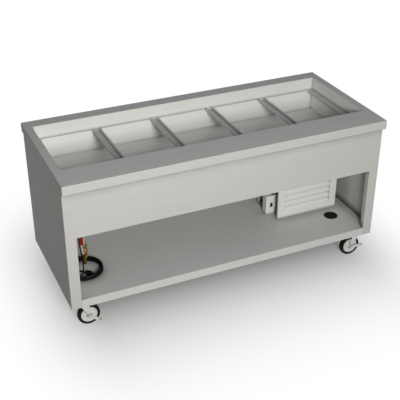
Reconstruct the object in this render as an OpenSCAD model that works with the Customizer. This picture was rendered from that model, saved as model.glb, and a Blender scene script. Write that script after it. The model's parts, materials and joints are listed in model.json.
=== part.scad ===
// Mobile cold-food counter: a five-pan cold well in a stainless steel cart with an open undershelf.
// Millimetres, +Z up, X along the length, front towards -Y, origin on the floor under the middle.

/* [Overall] */
// Length over the counter top
length = 1880; // [1700:10:2200]
// Depth over the counter top
depth = 812; // [780:2:900]
// Height of the counter top above the floor
height = 914; // [880:2:960]

/* [Counter top] */
// Sheet thickness of the counter top
top_t = 1.5; // [1.2:0.1:3]
// Height of the turned-down edge
edge_h = 52; // [40:1:70]
// Width of the hem folded in under the front and back edges
edge_hem = 12; // [8:1:20]
// How far the top stands out in front of the body
front_overhang = 30; // [20:1:50]
// How far the top stands out behind the body
back_overhang = 30; // [20:1:50]
// Gap between the turned-down ends and the side panels
end_gap = 0.5; // [0.3:0.1:1.5]

/* [Cold well] */
// Sheet thickness of the well liner
well_t = 1.2; // [0.8:0.1:2]
// Rim left at each end of the well
end_rim = 44.5; // [44:0.5:80]
// Rim left in front of the well
front_rim = 175; // [120:1:220]
// Rim left behind the well
back_rim = 81; // [75:1:110]
// Depth of the bar ledge below the counter top
ledge_drop = 79; // [60:1:100]
// Width of the bar ledge
ledge_w = 8; // [6:1:14]
// Depth of the well floor below the counter top
well_depth = 201; // [170:1:240]
// Width of the liner's flange under the counter top
liner_flange = 14; // [8:1:20]
// Thickness of the foam round the liner
foam_t = 36; // [25:1:36]
// Sheet thickness of the outer casing
casing_t = 1; // [0.8:0.1:1.5]

/* [Divider bars] */
// Width of a divider bar
bar_w = 54; // [46:1:64]
// Width of each bearing strip along a bar's edge
bar_strip_w = 13; // [10:1:18]
// How far the bar's web lies below its strips
bar_web_drop = 8; // [5:1:12]
// Height of the bar's outer flanges
bar_flange_h = 25; // [18:1:35]
// Sheet thickness of the bars and end rails
bar_t = 1.5; // [1.2:0.1:2.5]
// Width of the end rails
end_rail_w = 37.5; // [30:0.5:45]
// Gap at each end of a bar
bar_end_gap = 1; // [0.5:0.5:3]

/* [Body] */
// Sheet thickness of the body panels
body_t = 1.2; // [1:0.1:2]
// Width of the front stiles
stile_w = 58; // [45:1:75]
// Depth of the flange folded in behind each stile
stile_return = 30; // [20:1:45]
// Height of the open front between the undershelf and the apron
bay_h = 388; // [340:1:410]
// Depth of the flange folded in under the apron
apron_return = 20; // [15:1:30]
// Height of the undershelf's front lip
shelf_lip_h = 48; // [40:1:60]
// Depth of the flange folded in under the lip
lip_return = 9; // [6:1:11]
// Width of the flanges on the side panels' back edges
side_flange = 25; // [18:1:35]
// Diameter of the cord hole in the undershelf
shelf_hole_d = 76; // [60:1:90]
// Distance of the cord hole from the right end
shelf_hole_end = 158; // [140:1:220]
// Distance of the cord hole from the counter's front edge
shelf_hole_front = 236; // [180:1:245]

/* [Louvred panel] */
// Width of the louvred panel
panel_w = 407; // [380:1:420]
// Gap between the panel and the right side panel
panel_gap = 73; // [60:1:90]
// Distance of the panel behind the body's front
panel_setback = 295; // [285:1:300]
// Depth of the panel's folded edges
panel_flange = 13; // [10:1:20]
// Width of a louvre
louvre_w = 314; // [260:1:330]
// Distance between louvres
louvre_pitch = 39; // [36:0.5:44]
// Number of louvres
louvres = 6; // [3:1:8]
// Height of a louvre's slot
louvre_h = 35; // [28:0.5:35]
// How deep a louvre is pressed in
louvre_d = 10; // [6:0.5:12]
// Height of the lowest louvre above the undershelf
louvre_start = 49; // [40:1:60]

/* [Control box] */
// Width of the control box
control_w = 72; // [62:1:80]
// Depth of the control box
control_d = 44; // [40:1:50]
// Height of the control box
control_h = 124; // [110:1:140]
// Width of the rocker switch
rocker_w = 15; // [12:0.5:20]
// Height of the rocker switch
rocker_h = 27; // [22:0.5:32]
// Angle that the rocker moves through
rocker_throw = 14; // [8:1:18]
// Width of the support post
post_w = 40; // [34:1:46]

/* [Drain valve] */
// Outside radius of the drain pipe
pipe_r = 10.65; // [8:0.05:13]
// Wall of the drain pipe
pipe_wall = 2.5; // [1.5:0.1:3]
// Distance of the drain from the left end
drain_end = 151; // [140:1:200]
// Distance of the drain from the counter's front edge
drain_front = 245; // [235:1:280]
// Height of the valve's stem above the floor
valve_z = 364; // [355:1:420]
// Half length of the valve body
valve_half = 38; // [34:1:46]
// Turn of the stem towards the left end
valve_turn = 40; // [0:1:45]
// Length of the lever from the stem to its tip
lever_l = 126; // [100:1:140]
// Width of the lever
lever_w = 14; // [11:1:18]
// Thickness of the lever
lever_t = 2.5; // [2:0.1:4]
// Radius of the outlet spigot
spigot_r = 8; // [6:0.1:9]
// Length of the outlet spigot
spigot_l = 36; // [25:1:45]

/* [Casters] */
// Overall height of a caster
caster_h = 160; // [156:1:175]
// Depth of the body below the casters' mounting face
body_drop = 5; // [3:1:8]
// Diameter of a wheel
wheel_d = 127; // [115:1:130]
// Width of the tread
wheel_w = 32; // [28:1:36]
// Distance of the swivel axis from the nearer end
caster_end = 79.5; // [76:0.5:100]
// Distance of the swivel axis from the counter's front or back edge
caster_side = 90; // [90:1:110]
// Distance from the swivel axis to the axle
caster_trail = 27; // [8:0.5:30]
// Thickness of a caster plate
plate_t = 4; // [3:0.5:6]
// Length of a caster plate along X
plate_x = 92; // [86:1:100]
// Width of a caster plate along Y
plate_y = 96; // [90:1:105]
// Thickness of the fork's sheet
fork_t = 3.5; // [3:0.5:5]
// Gap between the wheel and a fork leg
fork_gap = 8; // [4:0.5:10]
// Radius of the axle
axle_r = 6; // [5:0.5:8]
// Reach of the brake lever from the axle
brake_reach = 72; // [66:1:80]

/* [Condensing unit] */
// Length of the unit's base along X
unit_w = 330; // [310:1:340]
// Gap left behind the condensing unit
unit_back = 44.8; // [40:0.2:60]
// Gap between the fan motor and the compressor
comp_gap = 36; // [20:1:60]
// Height of the condenser
cond_h = 250; // [230:1:290]
// Radius of the fan
fan_r = 100; // [80:1:105]

/* [Power cord] */
// Diameter of the power cord
cord_d = 8; // [6.5:0.1:8.3]
// Radius of the coil's inner turn
coil_r = 92.5; // [88:0.5:96]

/* [Hidden] */

steel = [0.75, 0.745, 0.73];
zinc = [0.70, 0.70, 0.69];
black = [0.07, 0.07, 0.07];
brass = [0.72, 0.55, 0.25];

cut = 1;          // how far a cutting solid runs past the face it opens
seat = 0.3;       // gap between a loose piece and what it rests on
running = 0.05;   // radial clearance of a shaft in its bearing

// Frame of the counter top and body
x_end = length / 2;
y_front = -depth / 2;
y_back = depth / 2;
under_top = height - top_t;
edge_bottom = height - edge_h;
body_x = x_end - top_t - end_gap;
body_inner = body_x - body_t;
body_front = y_front + front_overhang;
body_back = y_back - back_overhang;
back_face = body_back - body_t;
body_bottom = caster_h - body_drop;
shelf_z = body_bottom + shelf_lip_h;
shelf_under = shelf_z - body_t;
apron_bottom = shelf_z + bay_h;
stile_inner = body_x - stile_w;

// Well: half length, front and back faces, levels
well_x = x_end - end_rim;
well_y0 = y_front + front_rim;
well_y1 = y_back - back_rim;
ledge_z = height - ledge_drop;
floor_z = height - well_depth;
low_x = well_x - ledge_w;
low_y0 = well_y0 + ledge_w;
low_y1 = well_y1 - ledge_w;
foam_top = under_top - well_t;
foam_bottom = floor_z - well_t - foam_t;
foam_out = well_t + foam_t;
casing_bottom = foam_bottom - casing_t;

// Divider bars: four bars part the well into five equal pan openings
pan_w = (2 * well_x - 2 * end_rail_w - 4 * bar_w) / 5;
bar_pitch = pan_w + bar_w;
bar_top = ledge_z + bar_t + seat;

// Louvred panel, control box and post
panel_x1 = body_inner - panel_gap;
panel_x0 = panel_x1 - panel_w;
panel_y = body_front + panel_setback;
louvre_x0 = (panel_x0 + panel_x1 - louvre_w) / 2;
blade_steps = 8;
control_x0 = panel_x0 - control_w / 2;
control_y0 = panel_y + panel_flange + control_w;
rocker_x = control_x0 + control_w / 2;
rocker_z = shelf_z + control_h / 2;
rocker_gap = 0.4;
rocker_pivot = 5;
rocker_pin_r = 1.5;
bezel = 2;
post_side = 24;
post_x0 = control_x0 + post_side;
post_gap = 88;
post_y0 = control_y0 + control_d + post_gap;
post_t = 1.5;
post_flange = 24;

// Condensing unit behind the louvred panel
unit_side = 10;
unit_front = 8;
unit_x1 = panel_x1 - unit_side;
unit_x0 = unit_x1 - unit_w;
unit_y0 = panel_y + panel_flange + unit_front;
unit_y1 = back_face - unit_back;
unit_t = 2;
unit_h = 25;
unit_top = shelf_z + unit_h;
cond_side = 15;
cond_front = 6;
cond_w = unit_w - 2 * cond_side;
cond_x0 = unit_x0 + cond_side;
cond_y0 = unit_y0 + cond_front;
cond_d = 46;
fins = 36;
fin_t = 0.8;
fin_lip = 4;
fan_x = cond_x0 + cond_w / 2;
fan_back = 22;
fan_y = cond_y0 + cond_d + fan_back;
fan_z = unit_top + cond_h / 2;
fan_hub_r = 18;
fan_shaft_r = 3;
fan_depth = 22;
fan_pitch = 28;
fan_t = 1.6;
collar_gap = 8;
motor_gap = 8;
motor_foot = 44;
motor_y = fan_y + fan_depth + motor_gap;
motor_r = 36;
motor_l = 52;
stand_d = 40;
stand_t = 3;
comp_x = unit_x0 + unit_w / 2;
comp_back = 22;
comp_r = (unit_y1 - comp_back - motor_y - motor_l - comp_gap) / 2;
comp_y = unit_y1 - comp_r - comp_back;
comp_foot = 16;
comp_z0 = unit_top + comp_foot;
comp_h = 176;
terminal = [40, 40, 50];
terminal_x = comp_r - 58;
shell_t = 4;

// Copper tubing: loops round the liner's lower wall and two lines to the unit
loop_r = 4.75;
loop_gap = 0.3;
loop_bend = 14;
loop_off = ceil(10 * (loop_bend - (loop_bend - loop_r - loop_gap) / sqrt(2))) / 10;
loop_x = low_x + well_t + loop_off;
loop_y0 = low_y0 - well_t - loop_off;
loop_y1 = low_y1 + well_t + loop_off;
loop_above = 24;
loop_z0 = floor_z + loop_above;
loop_pitch = 28;
loops = 3;
line_below = 70;
line_z = casing_bottom - line_below;
line_bend = 22;
suction_y = comp_y;
suction_side = comp_r / 4.4;
suction_x = comp_x + suction_side;
liquid_y = cond_y0 + cond_d / 2;
liquid_side = 30;
liquid_x = cond_x0 + cond_w - liquid_side;
line_gap = 0.5;
header_r = 6;
header_end = 11;
suction_r = 4.2;
liquid_r = 3.2;

// Drain: pipe from the well floor to the ball valve
drain_x = -x_end + drain_end;
drain_y = y_front + drain_front;
drain_flange_r = pipe_r + 12;
drain_flange_t = 2;
bore_r = pipe_r - pipe_wall;
ball_r = 13;
stem_r = 4;
barrel_r = 18.5;
bonnet_y = 21;
bonnet_r = 7.5;
lever_y = 23;
lever_z0 = 50;
grip_t = 3;
grip_pocket = 0.2;
nut_r = 17.5;
nut_h = 18;
pocket = 14;
thread_gap = 0.05;
tail_nut_h = 9;
spigot_tip = 4;
tail_wall = 2;

// Casters
swivel_x = x_end - caster_end;
swivel_y = -y_front - caster_side;
wheel_r = wheel_d / 2;
race_r = 27;
race_h = 9;
king_r = 6;
king_gap = 0.3;
crown_z = caster_h - plate_t - race_h - 1;
leg_y = wheel_w / 2 + fork_gap;
leg_half = 23;
crown_half = 28;
bolt_r = 4;
bolt_gap = 0.3;
bolt_dx = 70;
bolt_dy = 74;
bolt_head_h = 5;
bolt_head_r = 7.5;
pad_t = 3;
pad_x = plate_x + 12;
pad_y = plate_y + 12;
pad_flange = 18;
side_gap = 0.3;
brake_t = 4;
brake_w = 16;
brake_tab = 14;
brake_down = 36;
hub_core_r = 48;

// Power cord: gland, route of the free stretches, coil of five turns in four layers
gland_x = -832;
gland_y = -207;
gland_r = 12;
conduit_r = 8;
conduit_bend = 34;
conduit_z = casing_bottom - conduit_r - seat;
conduit_side = 16;
conduit_x = control_x0 + control_w - conduit_side;
conduit_y = control_y0 + control_d / 2;
gland_top = conduit_z - conduit_bend;
gland_len = 32;
coil_x = -785;
coil_y = -121;
coil_start = -133;
coil_step = 10.2;
coil_rise = 8.8;
layer_turns = 0.875;
climb_turns = 0.5;
coil_layers = 4;
coil_rings = 24;
coil_sides = 6;
coil_turns = coil_layers * layer_turns + (coil_layers - 1) * climb_turns;
coil_z0 = shelf_z + seat + cord_d / 2;
cord_sides = 8;

function coil_radius(t) = let (s = t / (layer_turns + climb_turns), k = floor(s + 0.0001),
    a = min(t - k * (layer_turns + climb_turns), layer_turns))
    coil_r + coil_step * (k % 2 == 0 ? a : layer_turns - a);
function coil_height(t) = let (s = t / (layer_turns + climb_turns), k = floor(s + 0.0001),
    b = max(t - k * (layer_turns + climb_turns) - layer_turns, 0))
    coil_z0 + coil_rise * (k + b / climb_turns);
function coil_point(t) = let (a = coil_start + 360 * t)
    [coil_x + coil_radius(t) * cos(a), coil_y + coil_radius(t) * sin(a), coil_height(t)];
function coil_tangent() = [-sin(coil_start), cos(coil_start), 0];
coil_steps = coil_turns * coil_rings;
coil_lead = 8;
cord_stub = 4;
coil_first = coil_point(0) - coil_lead * coil_tangent();
coil_last = coil_point(coil_turns) + coil_lead * coil_tangent();
coil_path = concat([coil_first], [for (i = [0 : coil_steps]) coil_point(i / coil_rings)], [coil_last]);

// Route of the cord from the coil's top turn up to the gland
drop_rise = [[-828, -202, 238], [-820, -204, 245], [-815, -205, 255], [-812, -205, 271],
    [-812, -205, 290], [-812, -205, 320], [-814, -205, 355], [-819, -205, 395], [-824, -206, 440],
    [-828, -206, 490], [-831, -207, 535], [-832, -207, 575], [-832, -207, 595]];
drop_path = route(concat([coil_last, coil_last + cord_stub * coil_tangent()], drop_rise,
    [[gland_x, gland_y, gland_top - gland_len]]), 3);
// Route of the cord from the coil's bottom turn to the plug
tail_bend = [[-864, -168, 207.4], [-866, -152, 207.6], [-859, -137, 208], [-845, -127, 209],
    [-829, -123.5, 211], [-816, -126.5, 213.5]];
plug_at = [-801, -140, 215.5];
plug_turn = -45;
tail_path = route(concat([coil_first, coil_first - cord_stub * coil_tangent()], tail_bend,
    [plug_at - coil_lead * [cos(plug_turn), sin(plug_turn), 0]], [plug_at]), 3);
plug_relief = 22;
plug_body = 34;
plug_w = 26;
plug_h = 24;
blade_l = 16;

function path_length(p) = len(p) < 2 ? 0 : norm(p[1] - p[0]) + path_length([for (i = [1 : len(p) - 1]) p[i]]);
function unit(v) = v / norm(v);
// Smooth route through chosen points: straight at both ends, n steps between the points
function between(a, b, c, d, f) = ((2 * b) + (c - a) * f + (2 * a - 5 * b + 4 * c - d) * f * f
    + (3 * b - a - 3 * c + d) * f * f * f) / 2;
function route(p, n) = concat([p[0]],
    [for (i = [1 : len(p) - 3]) for (k = [0 : n - 1]) between(p[i - 1], p[i], p[i + 1], p[i + 2], k / n)],
    [p[len(p) - 2], p[len(p) - 1]]);
function tangent(p, i) = unit(p[min(i + 1, len(p) - 1)] - p[max(i - 1, 0)]);
// Rings of a tube: each is square to the route, laid out from one reference direction
function ring(p, i, r, n, up) = let (t = tangent(p, i), u = unit(cross(up, t)), v = cross(t, u))
    [for (k = [0 : n - 1]) p[i] + r * (cos(360 * (k + 0.5) / n) * u + sin(360 * (k + 0.5) / n) * v)];
function tube_points(p, r, n, up) = [for (i = [0 : len(p) - 1]) each ring(p, i, r, n, up)];
function tube_sides(m, n) = [for (i = [0 : m - 2]) for (k = [0 : n - 1]) each [
    [i * n + k, (i + 1) * n + k, i * n + (k + 1) % n],
    [i * n + (k + 1) % n, (i + 1) * n + k, (i + 1) * n + (k + 1) % n]]];
function tube_ends(m, n) = concat([[for (k = [0 : n - 1]) k]],
    [[for (k = [n - 1 : -1 : 0]) (m - 1) * n + k]]);

// Least gap between turns of the coil, measured on its points
coil_gap = min([for (i = [0 : len(coil_path) - 1]) for (j = [i + 12 : 1 : len(coil_path) - 1])
    norm(coil_path[i] - coil_path[j])]) - cord_d;
echo(coil_gap = coil_gap, cord_length = path_length(coil_path)
    + path_length(drop_path) + path_length(tail_path));

module slab(lo, hi) { translate(lo) cube(hi - lo); }

module tube_along(p, r, n, up) {
    polyhedron(points = tube_points(p, r, n, up),
        faces = concat(tube_sides(len(p), n), tube_ends(len(p), n)), convexity = 10);
}

// Quarter bend of a round bar in its own XY plane, from +X to +Y
module elbow(bend, r) {
    rotate_extrude(angle = 90, $fn = 48) translate([bend, 0]) circle(r, $fn = 24);
}

module bar_along_x(x0, x1, y, z, r) { translate([x0, y, z]) rotate([0, 90, 0]) cylinder(h = x1 - x0, r = r, $fn = 32); }
module bar_along_y(x, y0, y1, z, r) { translate([x, y0, z]) rotate([-90, 0, 0]) cylinder(h = y1 - y0, r = r, $fn = 32); }

// Counter top with its turned-down edges and the opening of the well
module counter_top() {
    color(steel) difference() {
        union() {
            slab([-x_end, y_front, edge_bottom], [x_end, y_back, height]);
        }
        slab([-x_end + top_t, y_front + top_t, edge_bottom + top_t],
            [x_end - top_t, y_back - top_t, under_top]);
        slab([-x_end + top_t, y_front + edge_hem, edge_bottom - cut],
            [x_end - top_t, y_back - edge_hem, edge_bottom + top_t + cut]);
        slab([-well_x, well_y0, under_top - cut], [well_x, well_y1, height + cut]);
    }
}

// Outer shape of the liner below its flange, grown by a gap
module liner_block(gap) {
    slab([-well_x - well_t - gap, well_y0 - well_t - gap, ledge_z - well_t - gap],
        [well_x + well_t + gap, well_y1 + well_t + gap, under_top]);
    slab([-low_x - well_t - gap, low_y0 - well_t - gap, floor_z - well_t - gap],
        [low_x + well_t + gap, low_y1 + well_t + gap, ledge_z]);
}

// Liner: flange under the top, upper wall, ledge for the bars, lower wall and floor
module well_liner() {
    color(steel) difference() {
        union() {
            slab([-well_x - liner_flange, well_y0 - liner_flange, foam_top],
                [well_x + liner_flange, well_y1 + liner_flange, under_top]);
            liner_block(0);
        }
        slab([-well_x, well_y0, ledge_z], [well_x, well_y1, under_top + cut]);
        slab([-low_x, low_y0, floor_z], [low_x, low_y1, ledge_z + cut]);
        translate([drain_x, drain_y, floor_z - well_t - cut])
            cylinder(h = well_t + 2 * cut, r = pipe_r + seat, $fn = 48);
    }
}

// Foam between the liner and the casing, grooved for the cooling loops
module well_insulation() {
    groove = loop_off + loop_r + loop_gap;
    slot = 2 * loop_r + 2 * loop_gap;
    color([0.93, 0.90, 0.78]) difference() {
        slab([-well_x - foam_out, well_y0 - foam_out, foam_bottom],
            [well_x + foam_out, well_y1 + foam_out, foam_top]);
        liner_block(0);
        for (k = [0 : loops - 1]) {
            z = loop_z0 + k * loop_pitch - loop_r - loop_gap;
            slab([-low_x - well_t - groove, low_y0 - well_t - groove, z],
                [low_x + well_t + groove, low_y1 + well_t + groove, z + slot]);
        }
        translate([drain_x, drain_y, foam_bottom - cut])
            cylinder(h = foam_t + 2 * cut, r = pipe_r + seat, $fn = 48);
        translate([drain_x, drain_y, floor_z - well_t - drain_flange_t - seat])
            cylinder(h = drain_flange_t + seat + cut, r = drain_flange_r + seat, $fn = 48);
        for (y = [suction_y, liquid_y]) translate([loop_x, y, foam_bottom - cut])
            cylinder(h = loop_z0 + loops * loop_pitch - foam_bottom, r = header_r + line_gap, $fn = 32);
    }
}

// Galvanised casing round the foam
module well_casing() {
    color(zinc) difference() {
        slab([-well_x - foam_out - casing_t, well_y0 - foam_out - casing_t, casing_bottom],
            [well_x + foam_out + casing_t, well_y1 + foam_out + casing_t, foam_top]);
        slab([-well_x - foam_out, well_y0 - foam_out, foam_bottom],
            [well_x + foam_out, well_y1 + foam_out, foam_top + cut]);
        translate([drain_x, drain_y, casing_bottom - cut])
            cylinder(h = casing_t + 2 * cut, r = pipe_r + seat, $fn = 48);
        for (y = [suction_y, liquid_y]) translate([loop_x, y, casing_bottom - cut])
            cylinder(h = casing_t + 2 * cut, r = suction_r + line_gap, $fn = 32);
    }
}

// Folded section of a divider bar: flange, strip, sunk web, strip, flange
module bar_section() {
    half = bar_w / 2;
    web = half - bar_strip_w;
    polygon([[-half, -bar_flange_h], [-half, 0], [-web, 0], [-web, -bar_web_drop], [web, -bar_web_drop],
        [web, 0], [half, 0], [half, -bar_flange_h], [half - bar_t, -bar_flange_h], [half - bar_t, -bar_t],
        [web + bar_t, -bar_t], [web + bar_t, -bar_web_drop - bar_t],
        [-web - bar_t, -bar_web_drop - bar_t], [-web - bar_t, -bar_t], [-half + bar_t, -bar_t],
        [-half + bar_t, -bar_flange_h]]);
}

// A bar hangs on the ledge by its strips; web and flanges stop short between the lower walls
module divider_bar(k) {
    y0 = low_y0 + bar_end_gap;
    y1 = low_y1 - bar_end_gap;
    half = bar_w / 2;
    color(steel) translate([(k - 2.5) * bar_pitch, 0, bar_top]) {
        translate([0, y1, 0]) rotate([90, 0, 0]) linear_extrude(y1 - y0) bar_section();
        for (side = [-1, 1]) for (y = [[well_y0 + bar_end_gap, y0], [y1, well_y1 - bar_end_gap]])
            slab([side > 0 ? half - bar_strip_w : -half, y[0], -bar_t],
                [side > 0 ? half : bar_strip_w - half, y[1], 0]);
    }
}

// End rail: a strip on the end ledge with one flange towards the pan
module end_rail(side) {
    color(steel) mirror([side < 0 ? 1 : 0, 0, 0]) {
        slab([well_x - end_rail_w, well_y0 + bar_end_gap, bar_top - bar_t],
            [well_x - bar_end_gap / 2, well_y1 - bar_end_gap, bar_top]);
        slab([well_x - end_rail_w, low_y0 + bar_end_gap, bar_top - bar_flange_h],
            [well_x - end_rail_w + bar_t, low_y1 - bar_end_gap, bar_top]);
    }
}

// Apron across the front with flanges folded in along its top and bottom
module front_apron() {
    color(steel) {
        slab([-body_inner, body_front, apron_bottom], [body_inner, body_front + body_t, under_top]);
        slab([-body_inner, body_front, apron_bottom],
            [body_inner, body_front + apron_return, apron_bottom + body_t]);
        slab([-body_inner, body_front, under_top - body_t],
            [body_inner, body_front + apron_return, under_top]);
    }
}

// Side panel folded round the front as a stile, with flanges at the back and bottom
module side_panel(side) {
    color(steel) mirror([side < 0 ? 1 : 0, 0, 0]) {
        slab([body_inner, body_front, body_bottom], [body_x, body_back, under_top]);
        slab([stile_inner, body_front, body_bottom], [body_x, body_front + body_t, apron_bottom]);
        slab([stile_inner, body_front, shelf_z],
            [stile_inner + body_t, body_front + stile_return, apron_bottom]);
        slab([body_inner - side_flange, back_face - body_t, shelf_z], [body_inner + body_t / 2, back_face, under_top]);
        slab([body_inner - side_flange * 0.7, body_front + body_t, body_bottom],
            [body_inner + body_t / 2, back_face, body_bottom + body_t]);
    }
}

module back_panel() {
    color(steel) slab([-body_inner, back_face, body_bottom], [body_inner, body_back, under_top]);
}

// Undershelf with a front lip between the stiles and a cord hole
module undershelf() {
    hole = [x_end - shelf_hole_end, y_front + shelf_hole_front];
    color(steel) difference() {
        union() {
            slab([-body_inner, body_front + body_t, shelf_under], [body_inner, back_face - body_t, shelf_z]);
            slab([-stile_inner, body_front, body_bottom], [stile_inner, body_front + body_t, shelf_z]);
            slab([-stile_inner, body_front, body_bottom],
                [stile_inner, body_front + lip_return, body_bottom + body_t]);
        }
        translate([hole[0], hole[1], shelf_under - cut])
            cylinder(h = body_t + 2 * cut, d = shelf_hole_d, $fn = 64);
    }
}

// Folded pad of channel section over one caster plate, welded under the shelf
module caster_pad() {
    slab([-pad_x / 2, -pad_y / 2, caster_h], [pad_x / 2, pad_y / 2, caster_h + pad_t]);
    for (edge = [0, 1]) mirror([edge, 0, 0]) {
        slab([pad_x / 2 - pad_t, -pad_y / 2, caster_h], [pad_x / 2, pad_y / 2, shelf_under]);
        slab([pad_x / 2 - pad_flange, -pad_y / 2, shelf_under - pad_t], [pad_x / 2, pad_y / 2, shelf_under]);
    }
}

module caster_pads() {
    color(zinc) for (side = [-1, 1]) for (end = [-1, 1]) difference() {
        translate([side * swivel_x, end * swivel_y, 0]) caster_pad();
        bolt_places(side * swivel_x, end * swivel_y) translate([0, 0, caster_h - cut])
            cylinder(h = pad_t + 2 * cut, r = bolt_r + bolt_gap, $fn = 32);
    }
}

// Rubber grommet that lines the cord hole, closed by its own web
module shelf_grommet() {
    r = shelf_hole_d / 2;
    color(black) translate([x_end - shelf_hole_end, y_front + shelf_hole_front, shelf_z])
        rotate_extrude($fn = 64) polygon([[0, -1.2], [r - 9, -1.2], [r - 7, 2.6], [r + 3.4, 2.6], [r + 4, 2],
            [r + 4, seat], [r - seat, seat], [r - seat, -body_t - seat], [r + 3, -body_t - seat],
            [r + 3, -body_t - 3], [r - 6, -body_t - 3], [r - 8, -3.2], [0, -3.2]]);
}

// Curved blade of a louvre: it leaves the panel's face at the bottom and bends inwards
function blade_y(s) = louvre_d * (1 - cos(90 * s));
function blade_outline() = concat([for (i = [0 : blade_steps]) [blade_y(i / blade_steps), louvre_h * i / blade_steps - 0.5]],
    [for (i = [blade_steps : -1 : 0]) [blade_y(i / blade_steps) + body_t, louvre_h * i / blade_steps - 0.5]]);

module louvre_panel() {
    z1 = casing_bottom;
    color(steel) {
        difference() {
            slab([panel_x0, panel_y, shelf_z], [panel_x1, panel_y + body_t, z1]);
            for (k = [0 : louvres - 1])
                slab([louvre_x0, panel_y - cut, shelf_z + louvre_start + k * louvre_pitch],
                    [louvre_x0 + louvre_w, panel_y + body_t + cut, shelf_z + louvre_start + k * louvre_pitch + louvre_h]);
        }
        for (k = [0 : louvres - 1])
            translate([louvre_x0, panel_y, shelf_z + louvre_start + k * louvre_pitch])
                rotate([90, 0, 90]) linear_extrude(louvre_w) polygon(blade_outline());
        for (x = [panel_x0, panel_x1 - body_t])
            slab([x, panel_y, shelf_z], [x + body_t, panel_y + panel_flange, z1]);
        for (z = [shelf_z, z1 - body_t])
            slab([panel_x0, panel_y, z], [panel_x1, panel_y + panel_flange, z + body_t]);
    }
}

// Control box with a bezel and a pocket for the rocker switch
module control_box() {
    mouth_w = rocker_w + 2 * rocker_gap;
    mouth_h = rocker_h + 2 * rocker_gap;
    color(steel) difference() {
        union() {
            slab([control_x0, control_y0, shelf_z], [control_x0 + control_w, control_y0 + control_d, shelf_z + control_h]);
            slab([rocker_x - mouth_w / 2 - bezel, control_y0 - bezel, rocker_z - mouth_h / 2 - bezel],
                [rocker_x + mouth_w / 2 + bezel, control_y0 + bezel, rocker_z + mouth_h / 2 + bezel]);
        }
        slab([rocker_x - mouth_w / 2, control_y0 - bezel - cut, rocker_z - mouth_h / 2],
            [rocker_x + mouth_w / 2, control_y0 + 16, rocker_z + mouth_h / 2]);
        bar_along_x(rocker_x - rocker_w / 2 - bezel, rocker_x + rocker_w / 2 + bezel,
            control_y0 + rocker_pivot, rocker_z, rocker_pin_r + running);
    }
}

// Rocker: two faces that meet in a shallow hollow, turned to its off position
module rocker_switch() {
    half = rocker_h / 2 - rocker_gap;
    color(black) translate([rocker_x, control_y0 + rocker_pivot, rocker_z]) rotate([-rocker_throw / 2, 0, 0]) {
        translate([-rocker_w / 2, 0, 0]) rotate([90, 0, 90]) linear_extrude(rocker_w)
            polygon([[-rocker_pivot - 3.2, half - 0.8], [-rocker_pivot - 0.6, 0], [-rocker_pivot - 3.2, -half + 0.8],
                [1, -half + 1.6], [4, -half / 2], [4, half / 2], [1, half - 1.6]]);
        bar_along_x(-rocker_w / 2 - bezel + 0.5, rocker_w / 2 + bezel - 0.5, 0, 0, rocker_pin_r);
    }
}

// Angle post between the undershelf and the casing at the compressor bay's corner
module support_post() {
    color(steel) {
        slab([post_x0, post_y0 + post_flange, shelf_z], [post_x0 + post_w, post_y0 + post_flange + post_t, casing_bottom]);
        slab([post_x0, post_y0, shelf_z], [post_x0 + post_t, post_y0 + post_flange + post_t, casing_bottom]);
    }
}

// Conduit from the control box along the casing to the cord gland
module wiring_conduit() {
    r = conduit_r;
    b = conduit_bend;
    color(black) {
        translate([conduit_x, conduit_y, shelf_z + control_h])
            cylinder(h = conduit_z - b - shelf_z - control_h, r = r, $fn = 32);
        translate([conduit_x, conduit_y, shelf_z + control_h]) cylinder(h = 9, r = r + 4, $fn = 6);
        translate([conduit_x - b, conduit_y, conduit_z - b]) rotate([90, 0, 0]) elbow(b, r);
        bar_along_x(gland_x + b, conduit_x - b, conduit_y, conduit_z, r);
        translate([gland_x + b, conduit_y - b, conduit_z]) rotate([0, 0, 90]) elbow(b, r);
        bar_along_y(gland_x, gland_y + b, conduit_y - b, conduit_z, r);
        translate([gland_x, gland_y + b, conduit_z - b]) rotate([90, 0, -90]) elbow(b, r);
    }
}

// Base tray of the condensing unit with its edges turned down
module unit_base() {
    color(zinc) difference() {
        slab([unit_x0, unit_y0, shelf_z], [unit_x1, unit_y1, unit_top]);
        slab([unit_x0 + unit_t, unit_y0 + unit_t, shelf_z - cut], [unit_x1 - unit_t, unit_y1 - unit_t, unit_top - unit_t]);
    }
}

// Hermetic shell: two drawn cups that meet in a welded rim, on four feet
function cup_arc(r, h, n) = [for (i = [0 : n]) [r * pow(cos(90 * i / n), 0.45), h * sin(90 * i / n)]];
module compressor() {
    mid = comp_h * 0.42;
    color(black) translate([comp_x, comp_y, comp_z0]) {
        translate([0, 0, mid]) rotate_extrude($fn = 64) polygon(concat([[0, 0]], cup_arc(comp_r - shell_t, comp_h - mid, 10)));
        translate([0, 0, mid]) mirror([0, 0, 1]) rotate_extrude($fn = 64)
            polygon(concat([[0, 0]], cup_arc(comp_r - shell_t, mid, 10)));
        translate([0, 0, mid - 5]) cylinder(h = 10, r = comp_r, $fn = 64);
        for (sx = [-1, 1]) for (sy = [-1, 1]) translate([sx * comp_r * 0.72, sy * comp_r * 0.72, -comp_foot])
            cylinder(h = comp_foot, r = 11, $fn = 32);
        slab([-comp_r * 0.86, -comp_r * 0.86, 0], [comp_r * 0.86, comp_r * 0.86, 3]);
        translate([terminal_x, comp_r * 0.86 - 18, mid - 20]) cube(terminal);
    }
}

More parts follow.
